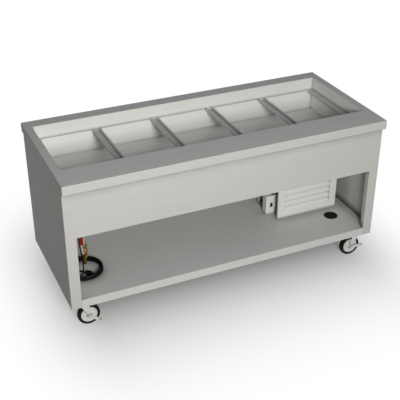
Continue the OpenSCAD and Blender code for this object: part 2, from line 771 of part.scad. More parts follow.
// Condenser: end plates, core, fins and the return bends of its tubes
module condenser_coil() {
    rows = 4;
    bend = cond_h / 16;
    color([0.8, 0.8, 0.8]) {
        slab([cond_x0, cond_y0 + fin_lip, unit_top], [cond_x0 + cond_w, cond_y0 + cond_d - fin_lip, unit_top + cond_h]);
        for (k = [0 : fins]) {
            x = cond_x0 + k * (cond_w - fin_t) / fins;
            slab([x, cond_y0, unit_top], [x + fin_t, cond_y0 + cond_d, unit_top + cond_h]);
        }
    }
    color([0.72, 0.45, 0.3]) for (side = [-1, 1]) for (k = [0 : rows - 1])
        translate([side < 0 ? cond_x0 : cond_x0 + cond_w, cond_y0 + cond_d / 2, unit_top + cond_h * (k + 0.5) / rows])
            rotate([90, 0, side < 0 ? 180 : 0]) for (a = [-90, 0]) rotate([0, 0, a]) elbow(bend, 4);
}

// Shroud that closes the condenser's back and rings the fan
module fan_shroud() {
    y = cond_y0 + cond_d;
    color(zinc) difference() {
        union() {
            slab([cond_x0, y, unit_top], [cond_x0 + cond_w, y + unit_t, unit_top + cond_h]);
            bar_along_y(fan_x, y, fan_y + fan_depth / 2, fan_z, fan_r + collar_gap + unit_t);
        }
        bar_along_y(fan_x, y - cut, fan_y + fan_depth, fan_z, fan_r + collar_gap);
    }
}

// Fan motor on a folded stand
module fan_motor() {
    color(black) difference() {
        union() {
            bar_along_y(fan_x, motor_y, motor_y + motor_l, fan_z, motor_r);
            slab([fan_x - motor_foot / 2, motor_y + motor_l - stand_d, unit_top],
                [fan_x + motor_foot / 2, motor_y + motor_l - stand_d + stand_t, fan_z]);
            slab([fan_x - motor_foot / 2, motor_y + motor_l - stand_d, unit_top],
                [fan_x + motor_foot / 2, motor_y + motor_l, unit_top + stand_t]);
        }
        bar_along_y(fan_x, motor_y - cut, motor_y + motor_l / 2, fan_z, fan_shaft_r + running);
    }
}

// Four pitched blades on a hub, with the shaft that runs in the motor
module fan_blade() {
    color(zinc) translate([fan_x, fan_y, fan_z]) {
        bar_along_y(0, 0, fan_depth, 0, fan_hub_r);
        bar_along_y(0, 0, motor_y + motor_l / 2 - fan_y - cut, 0, fan_shaft_r);
        for (a = [0 : 90 : 270]) rotate([0, a, 0]) translate([0, fan_depth / 2, 0]) rotate([fan_pitch + 90, 0, 0])
            linear_extrude(fan_t) polygon([[fan_hub_r - 5, -8], [fan_r * 0.78, -fan_r * 0.3],
                [fan_r * 0.93, -fan_r * 0.16], [fan_r * 0.96, fan_r * 0.1], [fan_r * 0.88, fan_r * 0.3],
                [fan_hub_r - 5, 8]]);
    }
}

// Line from the loops, down through the casing, across and down to the unit
module unit_line(y, x, z, r) {
    b = line_bend;
    translate([loop_x, y, line_z + b]) cylinder(h = loop_z0 - header_end - line_z - b, r = r, $fn = 24);
    translate([loop_x, y, loop_z0 - header_end])
        cylinder(h = (loops - 1) * loop_pitch + 2 * header_end, r = header_r, $fn = 32);
    translate([loop_x - b, y, line_z + b]) rotate([90, 0, 0]) rotate([0, 0, -90]) elbow(b, r);
    bar_along_x(x + b, loop_x - b, y, line_z, r);
    translate([x + b, y, line_z - b]) rotate([90, 0, 0]) rotate([0, 0, 90]) elbow(b, r);
    translate([x, y, z]) cylinder(h = line_z - b - z, r = r, $fn = 24);
}

module cooling_loop(z) {
    b = loop_bend;
    for (y = [loop_y0, loop_y1]) bar_along_x(-loop_x + b, loop_x - b, y, z, loop_r);
    for (x = [-loop_x, loop_x]) bar_along_y(x, loop_y0 + b, loop_y1 - b, z, loop_r);
    for (k = [0 : 3]) translate([k == 0 || k == 3 ? loop_x - b : b - loop_x, k < 2 ? loop_y1 - b : loop_y0 + b, z])
        rotate([0, 0, 90 * k]) elbow(b, loop_r);
}

module refrigerant_tubing() {
    color([0.72, 0.45, 0.3]) {
        for (k = [0 : loops - 1]) cooling_loop(loop_z0 + k * loop_pitch);
        unit_line(suction_y, suction_x, comp_z0 + comp_h + seat, suction_r);
        unit_line(liquid_y, liquid_x, unit_top + cond_h + seat, liquid_r);
    }
}

// Drain pipe, welded under the well floor by its flange
module drain_pipe() {
    color(zinc) translate([drain_x, drain_y, 0]) difference() {
        union() {
            translate([0, 0, valve_z + valve_half - pocket])
                cylinder(h = floor_z - valve_z - valve_half + pocket, r = pipe_r, $fn = 48);
            translate([0, 0, floor_z - well_t - drain_flange_t]) cylinder(h = drain_flange_t, r = drain_flange_r, $fn = 48);
        }
        translate([0, 0, valve_z]) cylinder(h = floor_z - valve_z + cut, r = bore_r, $fn = 48);
    }
}

// Places the valve: its own frame has the flow along Z and the stem towards -Y
module valve_place() { translate([drain_x, drain_y, valve_z]) rotate([0, 0, -valve_turn]) children(); }

module valve_body() {
    color(brass) valve_place() difference() {
        union() {
            for (side = [0, 1]) mirror([0, 0, side]) translate([0, 0, valve_half - nut_h])
                cylinder(h = nut_h, r = nut_r, $fn = 6);
            rotate_extrude($fn = 48) polygon([[0, -22], [13, -22], [17, -16], [barrel_r, -9],
                [barrel_r, 9], [17, 16], [13, 22], [0, 22]]);
            bar_along_y(0, -bonnet_y, 0, 0, bonnet_r);
        }
        for (side = [0, 1]) mirror([0, 0, side]) translate([0, 0, valve_half - pocket])
            cylinder(h = pocket + cut, r = pipe_r + thread_gap, $fn = 48);
        cylinder(h = 2 * valve_half, r = bore_r, center = true, $fn = 48);
        sphere(ball_r + seat, $fn = 48);
        bar_along_y(0, -bonnet_y - cut, 0, 0, stem_r + running);
    }
}

// Ball with its through bore, and the stem that turns it
module valve_stem() {
    color(zinc) valve_place() difference() {
        union() {
            sphere(ball_r, $fn = 48);
            bar_along_y(0, -lever_y - lever_t - 5, 0, 0, stem_r);
        }
        cylinder(h = 3 * ball_r, r = bore_r, center = true, $fn = 48);
    }
}

// Lever: a flat strip with an eye that is fixed on the stem
module valve_lever() {
    color(zinc) valve_place() translate([0, -lever_y, 0]) rotate([90, 0, 0]) linear_extrude(lever_t) difference() {
        union() {
            circle(11, $fn = 40);
            translate([-lever_w / 2, 0]) square([lever_w, lever_l - lever_w / 2]);
            translate([0, lever_l - lever_w / 2]) circle(lever_w / 2, $fn = 40);
        }
        circle(stem_r + thread_gap, $fn = 32);
    }
}

// Dipped vinyl grip over the lever's end
module lever_grip() {
    half = lever_w / 2;
    over = half + grip_t;
    color([0.62, 0.13, 0.08]) valve_place() translate([0, -lever_y + grip_t, 0]) rotate([90, 0, 0]) difference() {
        linear_extrude(lever_t + 2 * grip_t) union() {
            translate([-over, lever_z0]) square([2 * over, lever_l - half - lever_z0]);
            translate([0, lever_l - half]) circle(over, $fn = 40);
        }
        translate([0, 0, grip_t - grip_pocket]) linear_extrude(lever_t + 2 * grip_pocket) union() {
            translate([-half - grip_pocket, lever_z0 - cut]) square([lever_w + 2 * grip_pocket, lever_l - half - lever_z0 + cut]);
            translate([0, lever_l - half]) circle(half + grip_pocket, $fn = 40);
        }
    }
}

// Outlet: threaded end, hex collar and a plain spigot for a hose
module drain_tail() {
    color(brass) valve_place() difference() {
        union() {
            translate([0, 0, -valve_half]) cylinder(h = pocket - seat, r = pipe_r, $fn = 48);
            translate([0, 0, -valve_half - tail_nut_h]) cylinder(h = tail_nut_h, r = 13.5, $fn = 6);
            translate([0, 0, -valve_half - tail_nut_h - spigot_l]) cylinder(h = spigot_l, r = spigot_r, $fn = 48);
            translate([0, 0, -valve_half - tail_nut_h - spigot_l - spigot_tip])
                cylinder(h = spigot_tip, r1 = spigot_r - 1.5, r2 = spigot_r, $fn = 48);
        }
        translate([0, 0, -valve_half - tail_nut_h - spigot_l - spigot_tip - cut])
            cylinder(h = tail_nut_h + spigot_l + spigot_tip + cut + pocket, r = spigot_r - tail_wall, $fn = 48);
    }
}

// Strain relief below the conduit's end
module cord_gland() {
    color(black) translate([gland_x, gland_y, gland_top]) rotate_extrude($fn = 40)
        polygon([[0, 0], [gland_r - 1, 0], [gland_r, -1], [gland_r, -11], [gland_r - 2, -12], [gland_r - 3, -14],
            [cord_d / 2 + 1.2, -gland_len], [0, -gland_len]]);
}

module cord_drop() { color(black) tube_along(drop_path, cord_d / 2, cord_sides, [0.7, 0.7, 0]); }
module cord_coil() { color(black) tube_along(coil_path, cord_d / 2, coil_sides, [0, 0, 1]); }
module cord_tail() { color(black) tube_along(tail_path, cord_d / 2, cord_sides, [0, 0, 1]); }

// Plug: tapered relief, moulded body, two flat blades and a round pin
module cord_plug() {
    color(black) translate(plug_at) rotate([0, 0, plug_turn]) {
        rotate([0, 90, 0]) cylinder(h = plug_relief, r1 = cord_d / 2 + 0.6, r2 = 8, $fn = 32);
        intersection() {
            slab([plug_relief, -plug_w / 2, -plug_h / 2], [plug_relief + plug_body, plug_w / 2, plug_h / 2]);
            translate([plug_relief - cut, 0, 0]) rotate([0, 90, 0]) cylinder(h = plug_body + 2 * cut, r = 15.6, $fn = 48);
        }
    }
    color(brass) translate(plug_at) rotate([0, 0, plug_turn]) translate([plug_relief + plug_body, 0, 0]) {
        for (side = [-1, 1]) slab([0, side * 6.35 - 0.75, -3.2], [blade_l, side * 6.35 + 0.75, 3.2]);
        translate([0, 0, -8]) rotate([0, 90, 0]) cylinder(h = blade_l + 2, r = 2.4, $fn = 24);
    }
}

// Casters: sx and sy give the corner, wheels trail towards the middle of the counter
module bolt_places(x, y) {
    for (dx = [-1, 1]) for (dy = [-1, 1]) translate([x + dx * bolt_dx / 2, y + dy * bolt_dy / 2, 0]) children();
}

module caster_plate(sx, sy) {
    x = sx * swivel_x;
    y = sy * swivel_y;
    color(zinc) difference() {
        union() {
            slab([x - plate_x / 2, y - plate_y / 2, caster_h - plate_t], [x + plate_x / 2, y + plate_y / 2, caster_h]);
            translate([x, y, caster_h - plate_t - race_h]) cylinder(h = race_h, r1 = race_r - 3, r2 = race_r, $fn = 48);
            translate([x, y, crown_z - fork_t - 2]) cylinder(h = caster_h - plate_t - crown_z + fork_t + 2, r = king_r, $fn = 32);
            translate([x, y, crown_z - fork_t - 2 - king_gap]) cylinder(h = 2, r = king_r + 4, $fn = 32);
        }
        bolt_places(x, y) translate([0, 0, caster_h - plate_t - cut])
            cylinder(h = plate_t + 2 * cut, r = bolt_r + bolt_gap, $fn = 32);
    }
}

// Outline of a fork leg: wide under the crown, tapering to the axle
module leg_outline(trail) {
    polygon([[-leg_half, crown_z], [leg_half, crown_z], [trail + 13, wheel_r + 10], [trail + 13, wheel_r],
        [trail + 8, wheel_r - 10], [trail - 8, wheel_r - 10], [trail - 13, wheel_r], [trail - 13, wheel_r + 10]]);
}

module caster_fork(sx, sy) {
    trail = -sx * caster_trail;
    color(zinc) translate([sx * swivel_x, sy * swivel_y, 0]) difference() {
        union() {
            translate([0, 0, crown_z - fork_t]) slab([-crown_half, -leg_y - fork_t, 0], [crown_half, leg_y + fork_t, fork_t]);
            for (y = [-leg_y, leg_y + fork_t]) translate([0, y, 0]) rotate([90, 0, 0]) linear_extrude(fork_t) leg_outline(trail);
        }
        translate([0, 0, crown_z - fork_t - cut]) cylinder(h = fork_t + 2 * cut, r = king_r + king_gap, $fn = 32);
        bar_along_y(trail, -leg_y - fork_t - cut, leg_y + fork_t + cut, wheel_r, axle_r + running);
    }
}

// Half section of a wheel: crowned tread, sunk web and hub
function wheel_outline() = let (r = wheel_r, w = wheel_w / 2, core = hub_core_r)
    [[axle_r + running, -w - 4], [14, -w - 4], [16, -w + 3], [core - 8, -w + 3], [core - 4, -w + 1],
    [core, -w + 1], [r - 7, -w], [r - 3, -w + 2], [r - 1, -w + 6], [r, -w + 11],
    [r, w - 11], [r - 1, w - 6], [r - 3, w - 2], [r - 7, w], [core, w - 1],
    [core - 4, w - 1], [core - 8, w - 3], [16, w - 3], [14, w + 4], [axle_r + running, w + 4]];
module caster_wheel(sx, sy) {
    color(black) translate([sx * (swivel_x - caster_trail), sy * swivel_y, wheel_r]) rotate([90, 0, 0])
        rotate_extrude($fn = 72) polygon(wheel_outline());
}

// Axle bolt with its head at the front and a nut behind
module caster_axle(sx, sy) {
    x = sx * (swivel_x - caster_trail);
    y = sy * swivel_y;
    out = leg_y + fork_t + brake_t + 2 * seat;
    color(zinc) {
        bar_along_y(x, y - out, y + out, wheel_r, axle_r);
        translate([x, y - out, wheel_r]) rotate([90, 0, 0]) cylinder(h = 6, r = 10, $fn = 6);
        translate([x, y + out + 6, wheel_r]) rotate([90, 0, 0]) cylinder(h = 6, r = 10, $fn = 6);
        if (sy > 0) for (s = [-1, 1])
            bar_along_y(x, s > 0 ? y + leg_y + fork_t + seat : y - out, s > 0 ? y + out : y - leg_y - fork_t - seat, wheel_r, 9);
        else bar_along_y(x, y + leg_y + fork_t + seat, y + out, wheel_r, 9);
    }
}

// Side brake lever on the axle, with a tab for the foot
module brake_lever(sx, down) {
    x = sx * (swivel_x - caster_trail);
    color(zinc) translate([x, -swivel_y - leg_y - fork_t - seat, wheel_r]) rotate([0, down, 0]) difference() {
        union() {
            rotate([90, 0, 0]) linear_extrude(brake_t) union() {
                circle(13, $fn = 40);
                polygon([[0, -10], [0, 10], [brake_reach - 12, brake_w / 2], [brake_reach, brake_w / 2],
                    [brake_reach, -brake_w / 2], [brake_reach - 12, -brake_w / 2]]);
            }
            slab([brake_reach - 12, -brake_t - brake_tab, brake_w / 2 - 3], [brake_reach, 0, brake_w / 2]);
        }
        bar_along_y(0, -brake_t - cut, cut, 0, axle_r + running);
    }
}

// Bolts that hold the caster plates to the rails
module caster_bolts() {
    color(zinc) for (sx = [-1, 1]) for (sy = [-1, 1]) bolt_places(sx * swivel_x, sy * swivel_y) {
        translate([0, 0, caster_h - plate_t - bolt_head_h - seat]) cylinder(h = bolt_head_h, r = bolt_head_r, $fn = 6);
        translate([0, 0, caster_h - plate_t - bolt_head_h - seat])
            cylinder(h = bolt_head_h + plate_t + pad_t + 9 + seat, r = bolt_r, $fn = 32);
        translate([0, 0, caster_h + pad_t + seat]) cylinder(h = 6, r = bolt_head_r, $fn = 6);
    }
}

counter_top();
well_liner();
well_insulation();
well_casing();
divider_bar(1);  // divider_bar_1
divider_bar(2);  // divider_bar_2
divider_bar(3);  // divider_bar_3
divider_bar(4);  // divider_bar_4
end_rail(-1);  // end_rail_left
end_rail(1);  // end_rail_right
front_apron();
side_panel(-1);  // side_panel_left
side_panel(1);  // side_panel_right
back_panel();
undershelf();
caster_pads();
shelf_grommet();
louvre_panel();
control_box();
rocker_switch();
support_post();
wiring_conduit();
unit_base();
compressor();
condenser_coil();
fan_shroud();
fan_motor();
fan_blade();
refrigerant_tubing();
drain_pipe();
valve_body();
valve_stem();
valve_lever();
lever_grip();
drain_tail();
cord_gland();
cord_drop();
cord_coil();
cord_tail();
cord_plug();
caster_plate(-1, -1);  // caster_plate_fl
caster_plate(1, -1);  // caster_plate_fr
caster_plate(-1, 1);  // caster_plate_bl
caster_plate(1, 1);  // caster_plate_br
caster_fork(-1, -1);  // caster_fork_fl
caster_fork(1, -1);  // caster_fork_fr
caster_fork(-1, 1);  // caster_fork_bl
caster_fork(1, 1);  // caster_fork_br
caster_wheel(-1, -1);  // caster_wheel_fl
caster_wheel(1, -1);  // caster_wheel_fr
caster_wheel(-1, 1);  // caster_wheel_bl
caster_wheel(1, 1);  // caster_wheel_br
caster_axle(-1, -1);  // caster_axle_fl
caster_axle(1, -1);  // caster_axle_fr
caster_axle(-1, 1);  // caster_axle_bl
caster_axle(1, 1);  // caster_axle_br
brake_lever(-1, brake_down);  // brake_lever_fl
brake_lever(1, 0);  // brake_lever_fr
caster_bolts();
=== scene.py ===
"""Looks of the mobile cold-food counter: its finishes, rounded sheet metal, cord, casters and studio.

Every length is in metres unless its name ends in _mm. X runs along the counter, -Y is its front and
+Z is up, with the origin on the floor under the middle of the counter top.
"""
from __future__ import annotations

import json
import logging
import math
from dataclasses import dataclass, field
from enum import Enum
from typing import Sequence

import bmesh
import bpy
import numpy as np
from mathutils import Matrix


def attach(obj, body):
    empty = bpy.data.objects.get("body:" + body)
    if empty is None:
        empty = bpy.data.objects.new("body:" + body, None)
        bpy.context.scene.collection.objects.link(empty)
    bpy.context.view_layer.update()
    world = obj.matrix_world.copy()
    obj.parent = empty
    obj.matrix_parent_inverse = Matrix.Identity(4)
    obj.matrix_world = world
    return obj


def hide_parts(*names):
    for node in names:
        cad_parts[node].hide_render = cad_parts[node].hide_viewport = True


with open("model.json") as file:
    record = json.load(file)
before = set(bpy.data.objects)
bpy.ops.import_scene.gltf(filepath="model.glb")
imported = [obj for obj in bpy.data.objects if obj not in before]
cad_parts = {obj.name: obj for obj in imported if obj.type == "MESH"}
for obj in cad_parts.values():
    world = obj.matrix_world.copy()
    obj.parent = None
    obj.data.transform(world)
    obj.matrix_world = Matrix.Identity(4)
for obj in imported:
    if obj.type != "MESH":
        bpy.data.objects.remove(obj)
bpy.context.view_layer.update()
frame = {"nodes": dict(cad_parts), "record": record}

logging.basicConfig(level=logging.INFO, format="%(name)s: %(message)s")
log = logging.getLogger("counter")
MM = 0.001
# Rays that look for nearby surfaces when painting shade into seams
PAINTED_SHADE_RAYS = 6
# Edges sharper than this many degrees stay crisp
CRISP_DEG = 35.0
BODY_OF = {node: body for body, nodes in frame["record"]["behaviour"]["bodies"].items() for node in nodes}
SLOT_OF = {part["node"]: part["material_slot"] for part in frame["record"]["subparts"]}


# Colour and node helpers
def linear(code: str) -> tuple[float, float, float, float]:
    """Turn an sRGB hex colour into the linear colour that a shader socket takes.

    Args:
        code: Six hex digits, such as "C8C7C4".

    Returns:
        Linear red, green and blue with an alpha of 1.
    """
    values = [int(code[i:i + 2], 16) / 255 for i in (0, 2, 4)]
    red, green, blue = (v / 12.92 if v <= 0.04045 else ((v + 0.055) / 1.055) ** 2.4 for v in values)
    return (red, green, blue, 1.0)


def add_node(tree: bpy.types.NodeTree, kind: str, settings: dict | None = None,
             inputs: dict | None = None) -> bpy.types.Node:
    """Add a node, set its properties, and set or link its inputs.

    Args:
        tree: Node tree that gets the node.
        kind: Type of the node, as the program spells it.
        settings: Properties of the node by name.
        inputs: Input sockets by name or number; a socket links and anything else is set.

    Returns:
        The new node.
    """
    node = tree.nodes.new(kind)
    for key, value in (settings or {}).items():
        setattr(node, key, value)
    for key, value in (inputs or {}).items():
        if isinstance(value, bpy.types.NodeSocket):
            tree.links.new(value, node.inputs[key])
        else:
            node.inputs[key].default_value = value
    return node


# Finishes
class Pattern(Enum):
    """How a finish varies over its surface."""

    GRAIN = "grain"
    SPANGLE = "spangle"
    PEBBLE = "pebble"


@dataclass(frozen=True)
class Finish:
    """One real finish: its colours, sheen and the small pattern that its making leaves.

    The pattern is noise or cells on Object coordinates. Its size is in millimetres, and its stretch
    draws it out along an axis as rolling, brushing or moulding does. The sheen swings about its
    middle with the pattern. Within painted_shade_mm of other surfaces the colour is painted darker,
    towards painted_shade_share, as painted shade.
    """

    title: str
    colour: str
    shade: str
    metallic: float
    roughness: float
    swing: float = 0.05
    pattern: Pattern = Pattern.GRAIN
    size_mm: float = 20.0
    stretch: tuple[float, float, float] = (1.0, 1.0, 1.0)
    relief_mm: float = 0.0
    coat: float = 0.0
    specular: float = 0.5
    slot: str = ""
    painted_shade_mm: float = 0.0
    painted_shade_share: float = 0.5

    def build(self) -> bpy.types.Material:
        """Make the material of this finish.

        Returns:
            A node material whose colour, roughness and bump follow the pattern.
        """
        material = bpy.data.materials.new(self.title)
        material.use_nodes = True
        tree = material.node_tree
        shader = tree.nodes["Principled BSDF"]
        place = add_node(tree, "ShaderNodeTexCoord").outputs["Object"]
        scale = tuple(1000.0 / self.size_mm / s for s in self.stretch)
        mapped = add_node(tree, "ShaderNodeMapping", inputs={"Vector": place, "Scale": scale})
        value = self.pattern_value(tree, mapped.outputs["Vector"])
        mix = add_node(tree, "ShaderNodeMix", {"data_type": "RGBA"}, {0: value})
        mix.inputs[6].default_value = linear(self.colour)
        mix.inputs[7].default_value = linear(self.shade)
        # Painted shade: the colour is darkened where nearby surfaces close off the view
        colour = self.paint_seam_shade(tree, mix.outputs[2]) if self.painted_shade_mm else mix.outputs[2]
        tree.links.new(colour, shader.inputs["Base Color"])
        sheen = add_node(tree, "ShaderNodeMapRange", inputs={
            "Value": value, "To Min": self.roughness - self.swing, "To Max": self.roughness + self.swing})
        tree.links.new(sheen.outputs["Result"], shader.inputs["Roughness"])
        shader.inputs["Metallic"].default_value = self.metallic
        shader.inputs["Coat Weight"].default_value = self.coat
        shader.inputs["Specular IOR Level"].default_value = self.specular
        if self.relief_mm:
            bump = add_node(tree, "ShaderNodeBump", inputs={
                "Height": value, "Distance": self.relief_mm * MM, "Strength": 1.0})
            tree.links.new(bump.outputs["Normal"], shader.inputs["Normal"])
        return material

    def paint_seam_shade(self, tree: bpy.types.NodeTree, colour: bpy.types.NodeSocket) -> bpy.types.NodeSocket:
        """Paint shade into a colour in seams, folds and contact edges, where nearby surfaces close off the
        view.

        Args:
            tree: Material's node tree.
            colour: Colour of the open surface.

        Returns:
            The colour with painted shade, falling to its painted shade share where nearby surfaces close half
            of the view out.
        """
        # Painted shade: the share of the view that nearby surfaces leave open sets how dark the colour is
        # painted
        open_share = add_node(tree, "ShaderNodeAmbientOcclusion", {"samples": PAINTED_SHADE_RAYS},
                              {"Distance": self.painted_shade_mm * MM})
        share = add_node(tree, "ShaderNodeMapRange", inputs={
            "Value": open_share.outputs["AO"], "From Min": 0.5, "From Max": 1.0,
            "To Min": self.painted_shade_share, "To Max": 1.0})
        grey = add_node(tree, "ShaderNodeCombineColor", inputs={k: share.outputs[0] for k in range(3)})
        return add_node(tree, "ShaderNodeMix", {"data_type": "RGBA", "blend_type": "MULTIPLY"}, {
            0: 1.0, 6: colour, 7: grey.outputs[0]}).outputs[2]

    def pattern_value(self, tree: bpy.types.NodeTree, vector: bpy.types.NodeSocket) -> bpy.types.NodeSocket:
        """Add the pattern's texture.

        Args:
            tree: Material's node tree.
            vector: Place on the surface, in units of the pattern's size.

        Returns:
            A socket that runs from 0 to 1 over the pattern.
        """
        if self.pattern is Pattern.SPANGLE:
            cells = add_node(tree, "ShaderNodeTexVoronoi", {"feature": "F1"},
                             {"Vector": vector, "Scale": 1.0})
            grey = add_node(tree, "ShaderNodeSeparateColor", inputs={"Color": cells.outputs["Color"]})
            return grey.outputs[0]
        detail = 5.0 if self.pattern is Pattern.GRAIN else 2.0
        noise = add_node(tree, "ShaderNodeTexNoise", inputs={
            "Vector": vector, "Scale": 1.0, "Detail": detail, "Roughness": 0.55})
        return noise.outputs["Fac"]


FINISHES: dict[str, Finish] = {
    # Stainless sheet with a fine satin polish: pale grey, with soft dull reflections along the rolling.
    # The polish's lines are under 0.1 mm; here they are drawn centimetres wide, or they wouldn't show
    # Its seams, folds and contact edges are painted dark, down to black, as painted shade
    "stainless_sheet": Finish(
        "satin stainless sheet", "C7C6C2", "C0BFBB", 0.15, 0.55, 0.04, size_mm=55, stretch=(6, 1, 1),
        specular=0.2, painted_shade_mm=60, painted_shade_share=0.0),
    # The same sheet drawn deep and duller, its colour painted paler to stand in for light the deep well
    # doesn't get; painted shade darkens its corners
    "stainless_liner": Finish(
        "satin stainless well liner", "E4E3DF", "DEDDD9", 0.12, 0.56, 0.04, size_mm=60, stretch=(5, 1, 1),
        specular=0.2, painted_shade_mm=16),
    # Folded strip, polished along its length: a slightly darker grey with a narrower sheen
    # Its seams and folds carry painted shade
    "stainless_bar": Finish(
        "satin stainless bar", "C0BFBC", "B9B8B5", 0.15, 0.5, 0.03, size_mm=30, stretch=(1, 8, 1),
        specular=0.25, painted_shade_mm=12),
    # The same sheet laid flat, its colour painted paler to stand in for light it doesn't get under the
    # counter, with an even dull sheen; broad painted shade darkens it near walls and parts
    "stainless_shelf": Finish(
        "satin stainless shelf", "D1D2D0", "CBCCCA", 0.12, 0.56, 0.04, size_mm=70, stretch=(6, 1, 1),
        specular=0.2, painted_shade_mm=90),
    # Thin sheet with pressed louvres, its colour painted paler to stand in for light it doesn't get; the dark
    # where a blade folds in is painted shade
    "stainless_panel": Finish(
        "satin stainless louvre sheet", "E0DFDB", "D9D8D4", 0.12, 0.54, 0.04, size_mm=40,
        stretch=(5, 1, 1), specular=0.2, painted_shade_mm=22, painted_shade_share=0.3),
    # Folded steel box with a dull brushed face, its grey painted paler to stand in for light it doesn't get,
    # without clear reflections; its seams carry painted shade
    "box_steel": Finish(
        "dull steel box", "E2E1DD", "DCDBD7", 0.12, 0.56, 0.04, size_mm=30, specular=0.2, painted_shade_mm=16),
    # Hot-dip galvanised steel: grey crystals a centimetre across, each with its own sheen
    "galvanised_sheet": Finish(
        "hot-dip galvanised sheet", "B4B6B6", "C6C8C8", 0.45, 0.46, 0.08, Pattern.SPANGLE, size_mm=11),
    # Foam poured in place: matt, straw yellow, with a pebbled skin
    "foam": Finish(
        "rigid polyurethane foam", "E8DDB8", "DCCFA4", 0.0, 0.9, 0.05, Pattern.PEBBLE, size_mm=3,
        relief_mm=0.3),
    # Moulded rubber: near black, with a soft broad sheen
    "black_rubber": Finish(
        "moulded rubber", "080808", "0D0D0D", 0.0, 0.62, 0.06, Pattern.PEBBLE, size_mm=4, relief_mm=0.02,
        specular=0.2),
    # Moulded nylon: black, a little glossier than rubber, with the mould's fine grain
    "black_plastic": Finish(
        "moulded black nylon", "0A0A0A", "101010", 0.0, 0.45, 0.05, Pattern.PEBBLE, size_mm=2,
        relief_mm=0.01, specular=0.3),
    # Stoved enamel: a hard black gloss with a faint orange-peel surface
    "black_enamel": Finish(
        "black stove enamel", "161616", "1D1D1D", 0.0, 0.35, 0.04, Pattern.PEBBLE, size_mm=6,
        relief_mm=0.02, coat=0.3),
    # Rolled aluminium: pale and cool, with a half-bright sheen
    "fin_aluminium": Finish(
        "mill aluminium", "D2D4D5", "C6C8C9", 0.55, 0.4, 0.05, size_mm=20, stretch=(1, 1, 5)),
    # Drawn copper: warm and bright, dulled in patches by handling
    "copper_tube": Finish("drawn copper", "C98A66", "B4714D", 1.0, 0.32, 0.08, size_mm=25),
    # Polished tube: the sheet's metal with brighter reflections along the tube
    "stainless_tube": Finish(
        "satin stainless tube", "BFBDB8", "B3B1AC", 1.0, 0.35, 0.04, size_mm=18, stretch=(1, 1, 4)),
    # Cast brass, machined at its ends: warm yellow, a little tarnished in patches
    # Its seams and hollows carry painted shade
    "brass_casting": Finish(
        "cast yellow brass", "D0A245", "5A4018", 1.0, 0.4, 0.08, size_mm=16, relief_mm=0.03, painted_shade_mm=24,
        painted_shade_share=0.3),
    # Chrome plate: a hard mirror with hardly any colour
    "chromed_steel": Finish("chromed steel", "D8D8D8", "D2D2D2", 1.0, 0.12, 0.02, size_mm=20),
    # Moulded polypropylene wheel centre: pale warm grey, satin
    # Its seams carry painted shade
    "wheel_hub": Finish(
        "moulded grey polypropylene", "D8D8D4", "D0D0CC", 0.0, 0.5, 0.05, Pattern.PEBBLE, size_mm=5,
        relief_mm=0.01, slot="tread_rubber", painted_shade_mm=9, painted_shade_share=0.4),
    # Zinc-plated steel: pale grey with a faint milky bloom
    # Its seams and folds carry painted shade
    "zinc_steel": Finish(
        "zinc-plated steel", "DDDCD9", "CFCECC", 0.35, 0.45, 0.06, size_mm=14, specular=0.3, painted_shade_mm=9,
        painted_shade_share=0.4),
    # Dipped vinyl: soft deep red with a rounded gloss
    "red_vinyl": Finish(
        "dipped red vinyl", "9C2A1A", "8C2216", 0.0, 0.38, 0.05, Pattern.PEBBLE, size_mm=8, relief_mm=0.04),
    # Extruded rubber sheath: black and matt, with a very fine grain
    "cord_rubber": Finish(
        "black cord sheath", "040404", "080808", 0.0, 0.6, 0.05, Pattern.PEBBLE, size_mm=3,
        relief_mm=0.01, specular=0.2),
    # Tyre rubber: black with a brown cast, scuffed matt by the floor
    "tread_rubber": Finish(
        "black rubber tread", "070806", "0D0E0B", 0.0, 0.66, 0.06, Pattern.PEBBLE, size_mm=5,
        relief_mm=0.03, specular=0.2),
}


@dataclass
class Finishes:
    """The counter's materials, each made once."""

    made: dict[str, bpy.types.Material] = field(default_factory=dict)

    def get(self, slot: str) -> bpy.types.Material:
        """Give the material of a slot, making it the first time.

        Args:
            slot: Name of the finish.

        Returns:
            The slot's material.
        """
        if slot not in self.made:
            self.made[slot] = FINISHES[slot].build()
        return self.made[slot]

    def dress_nodes(self) -> None:
        """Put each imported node's own finish on it."""
        for part in frame["record"]["subparts"]:
            node = frame["nodes"][part["node"]]
            for place in node.material_slots:
                place.material = self.get(part["material_slot"])


# Largest share of a side that the arc at one of its ends may take up
ARC_SHARE = 0.45
# Flat kept beside an arc, as a share of the arc's reach
HOLD_SHARE = 0.06
# Side where a turned surface starts, off the main axes, and the one for an upright axis
START_SIDE = (0.31, 0.17, 0.94)
UPRIGHT_SIDE = (1.0, 0.0, 0.0)


# Surfaces: every point below is in millimetres until it goes into a mesh
@dataclass
class Patch:
    """One surface as a grid of points, with rows along one parameter and columns along the other."""

    points: np.ndarray
    loop_rows: bool = False
    loop_columns: bool = False
    caps: bool = False

    def faces(self, start: int) -> list[tuple[int, ...]]:
        """Give the grid's faces.

        Args:
            start: Number of the grid's first point in its mesh.

        Returns:
            Quads between neighbouring rows and columns, and a face over each end row if capped.
        """
        rows, columns = self.points.shape[:2]
        i = np.arange(rows if self.loop_rows else rows - 1)[:, None]
        j = np.arange(columns if self.loop_columns else columns - 1)[None, :]
        nxt, beside = (i + 1) % rows, (j + 1) % columns
        here, there = i * columns, nxt * columns
        quads = np.stack([here + j, here + beside, there + beside, there + j], -1)
        out = [tuple(q) for q in (quads.reshape(-1, 4) + start).tolist()]
        if self.caps:
            out.append(tuple(range(start + columns - 1, start - 1, -1)))
            out.append(tuple(range(start + (rows - 1) * columns, start + rows * columns)))
        return out


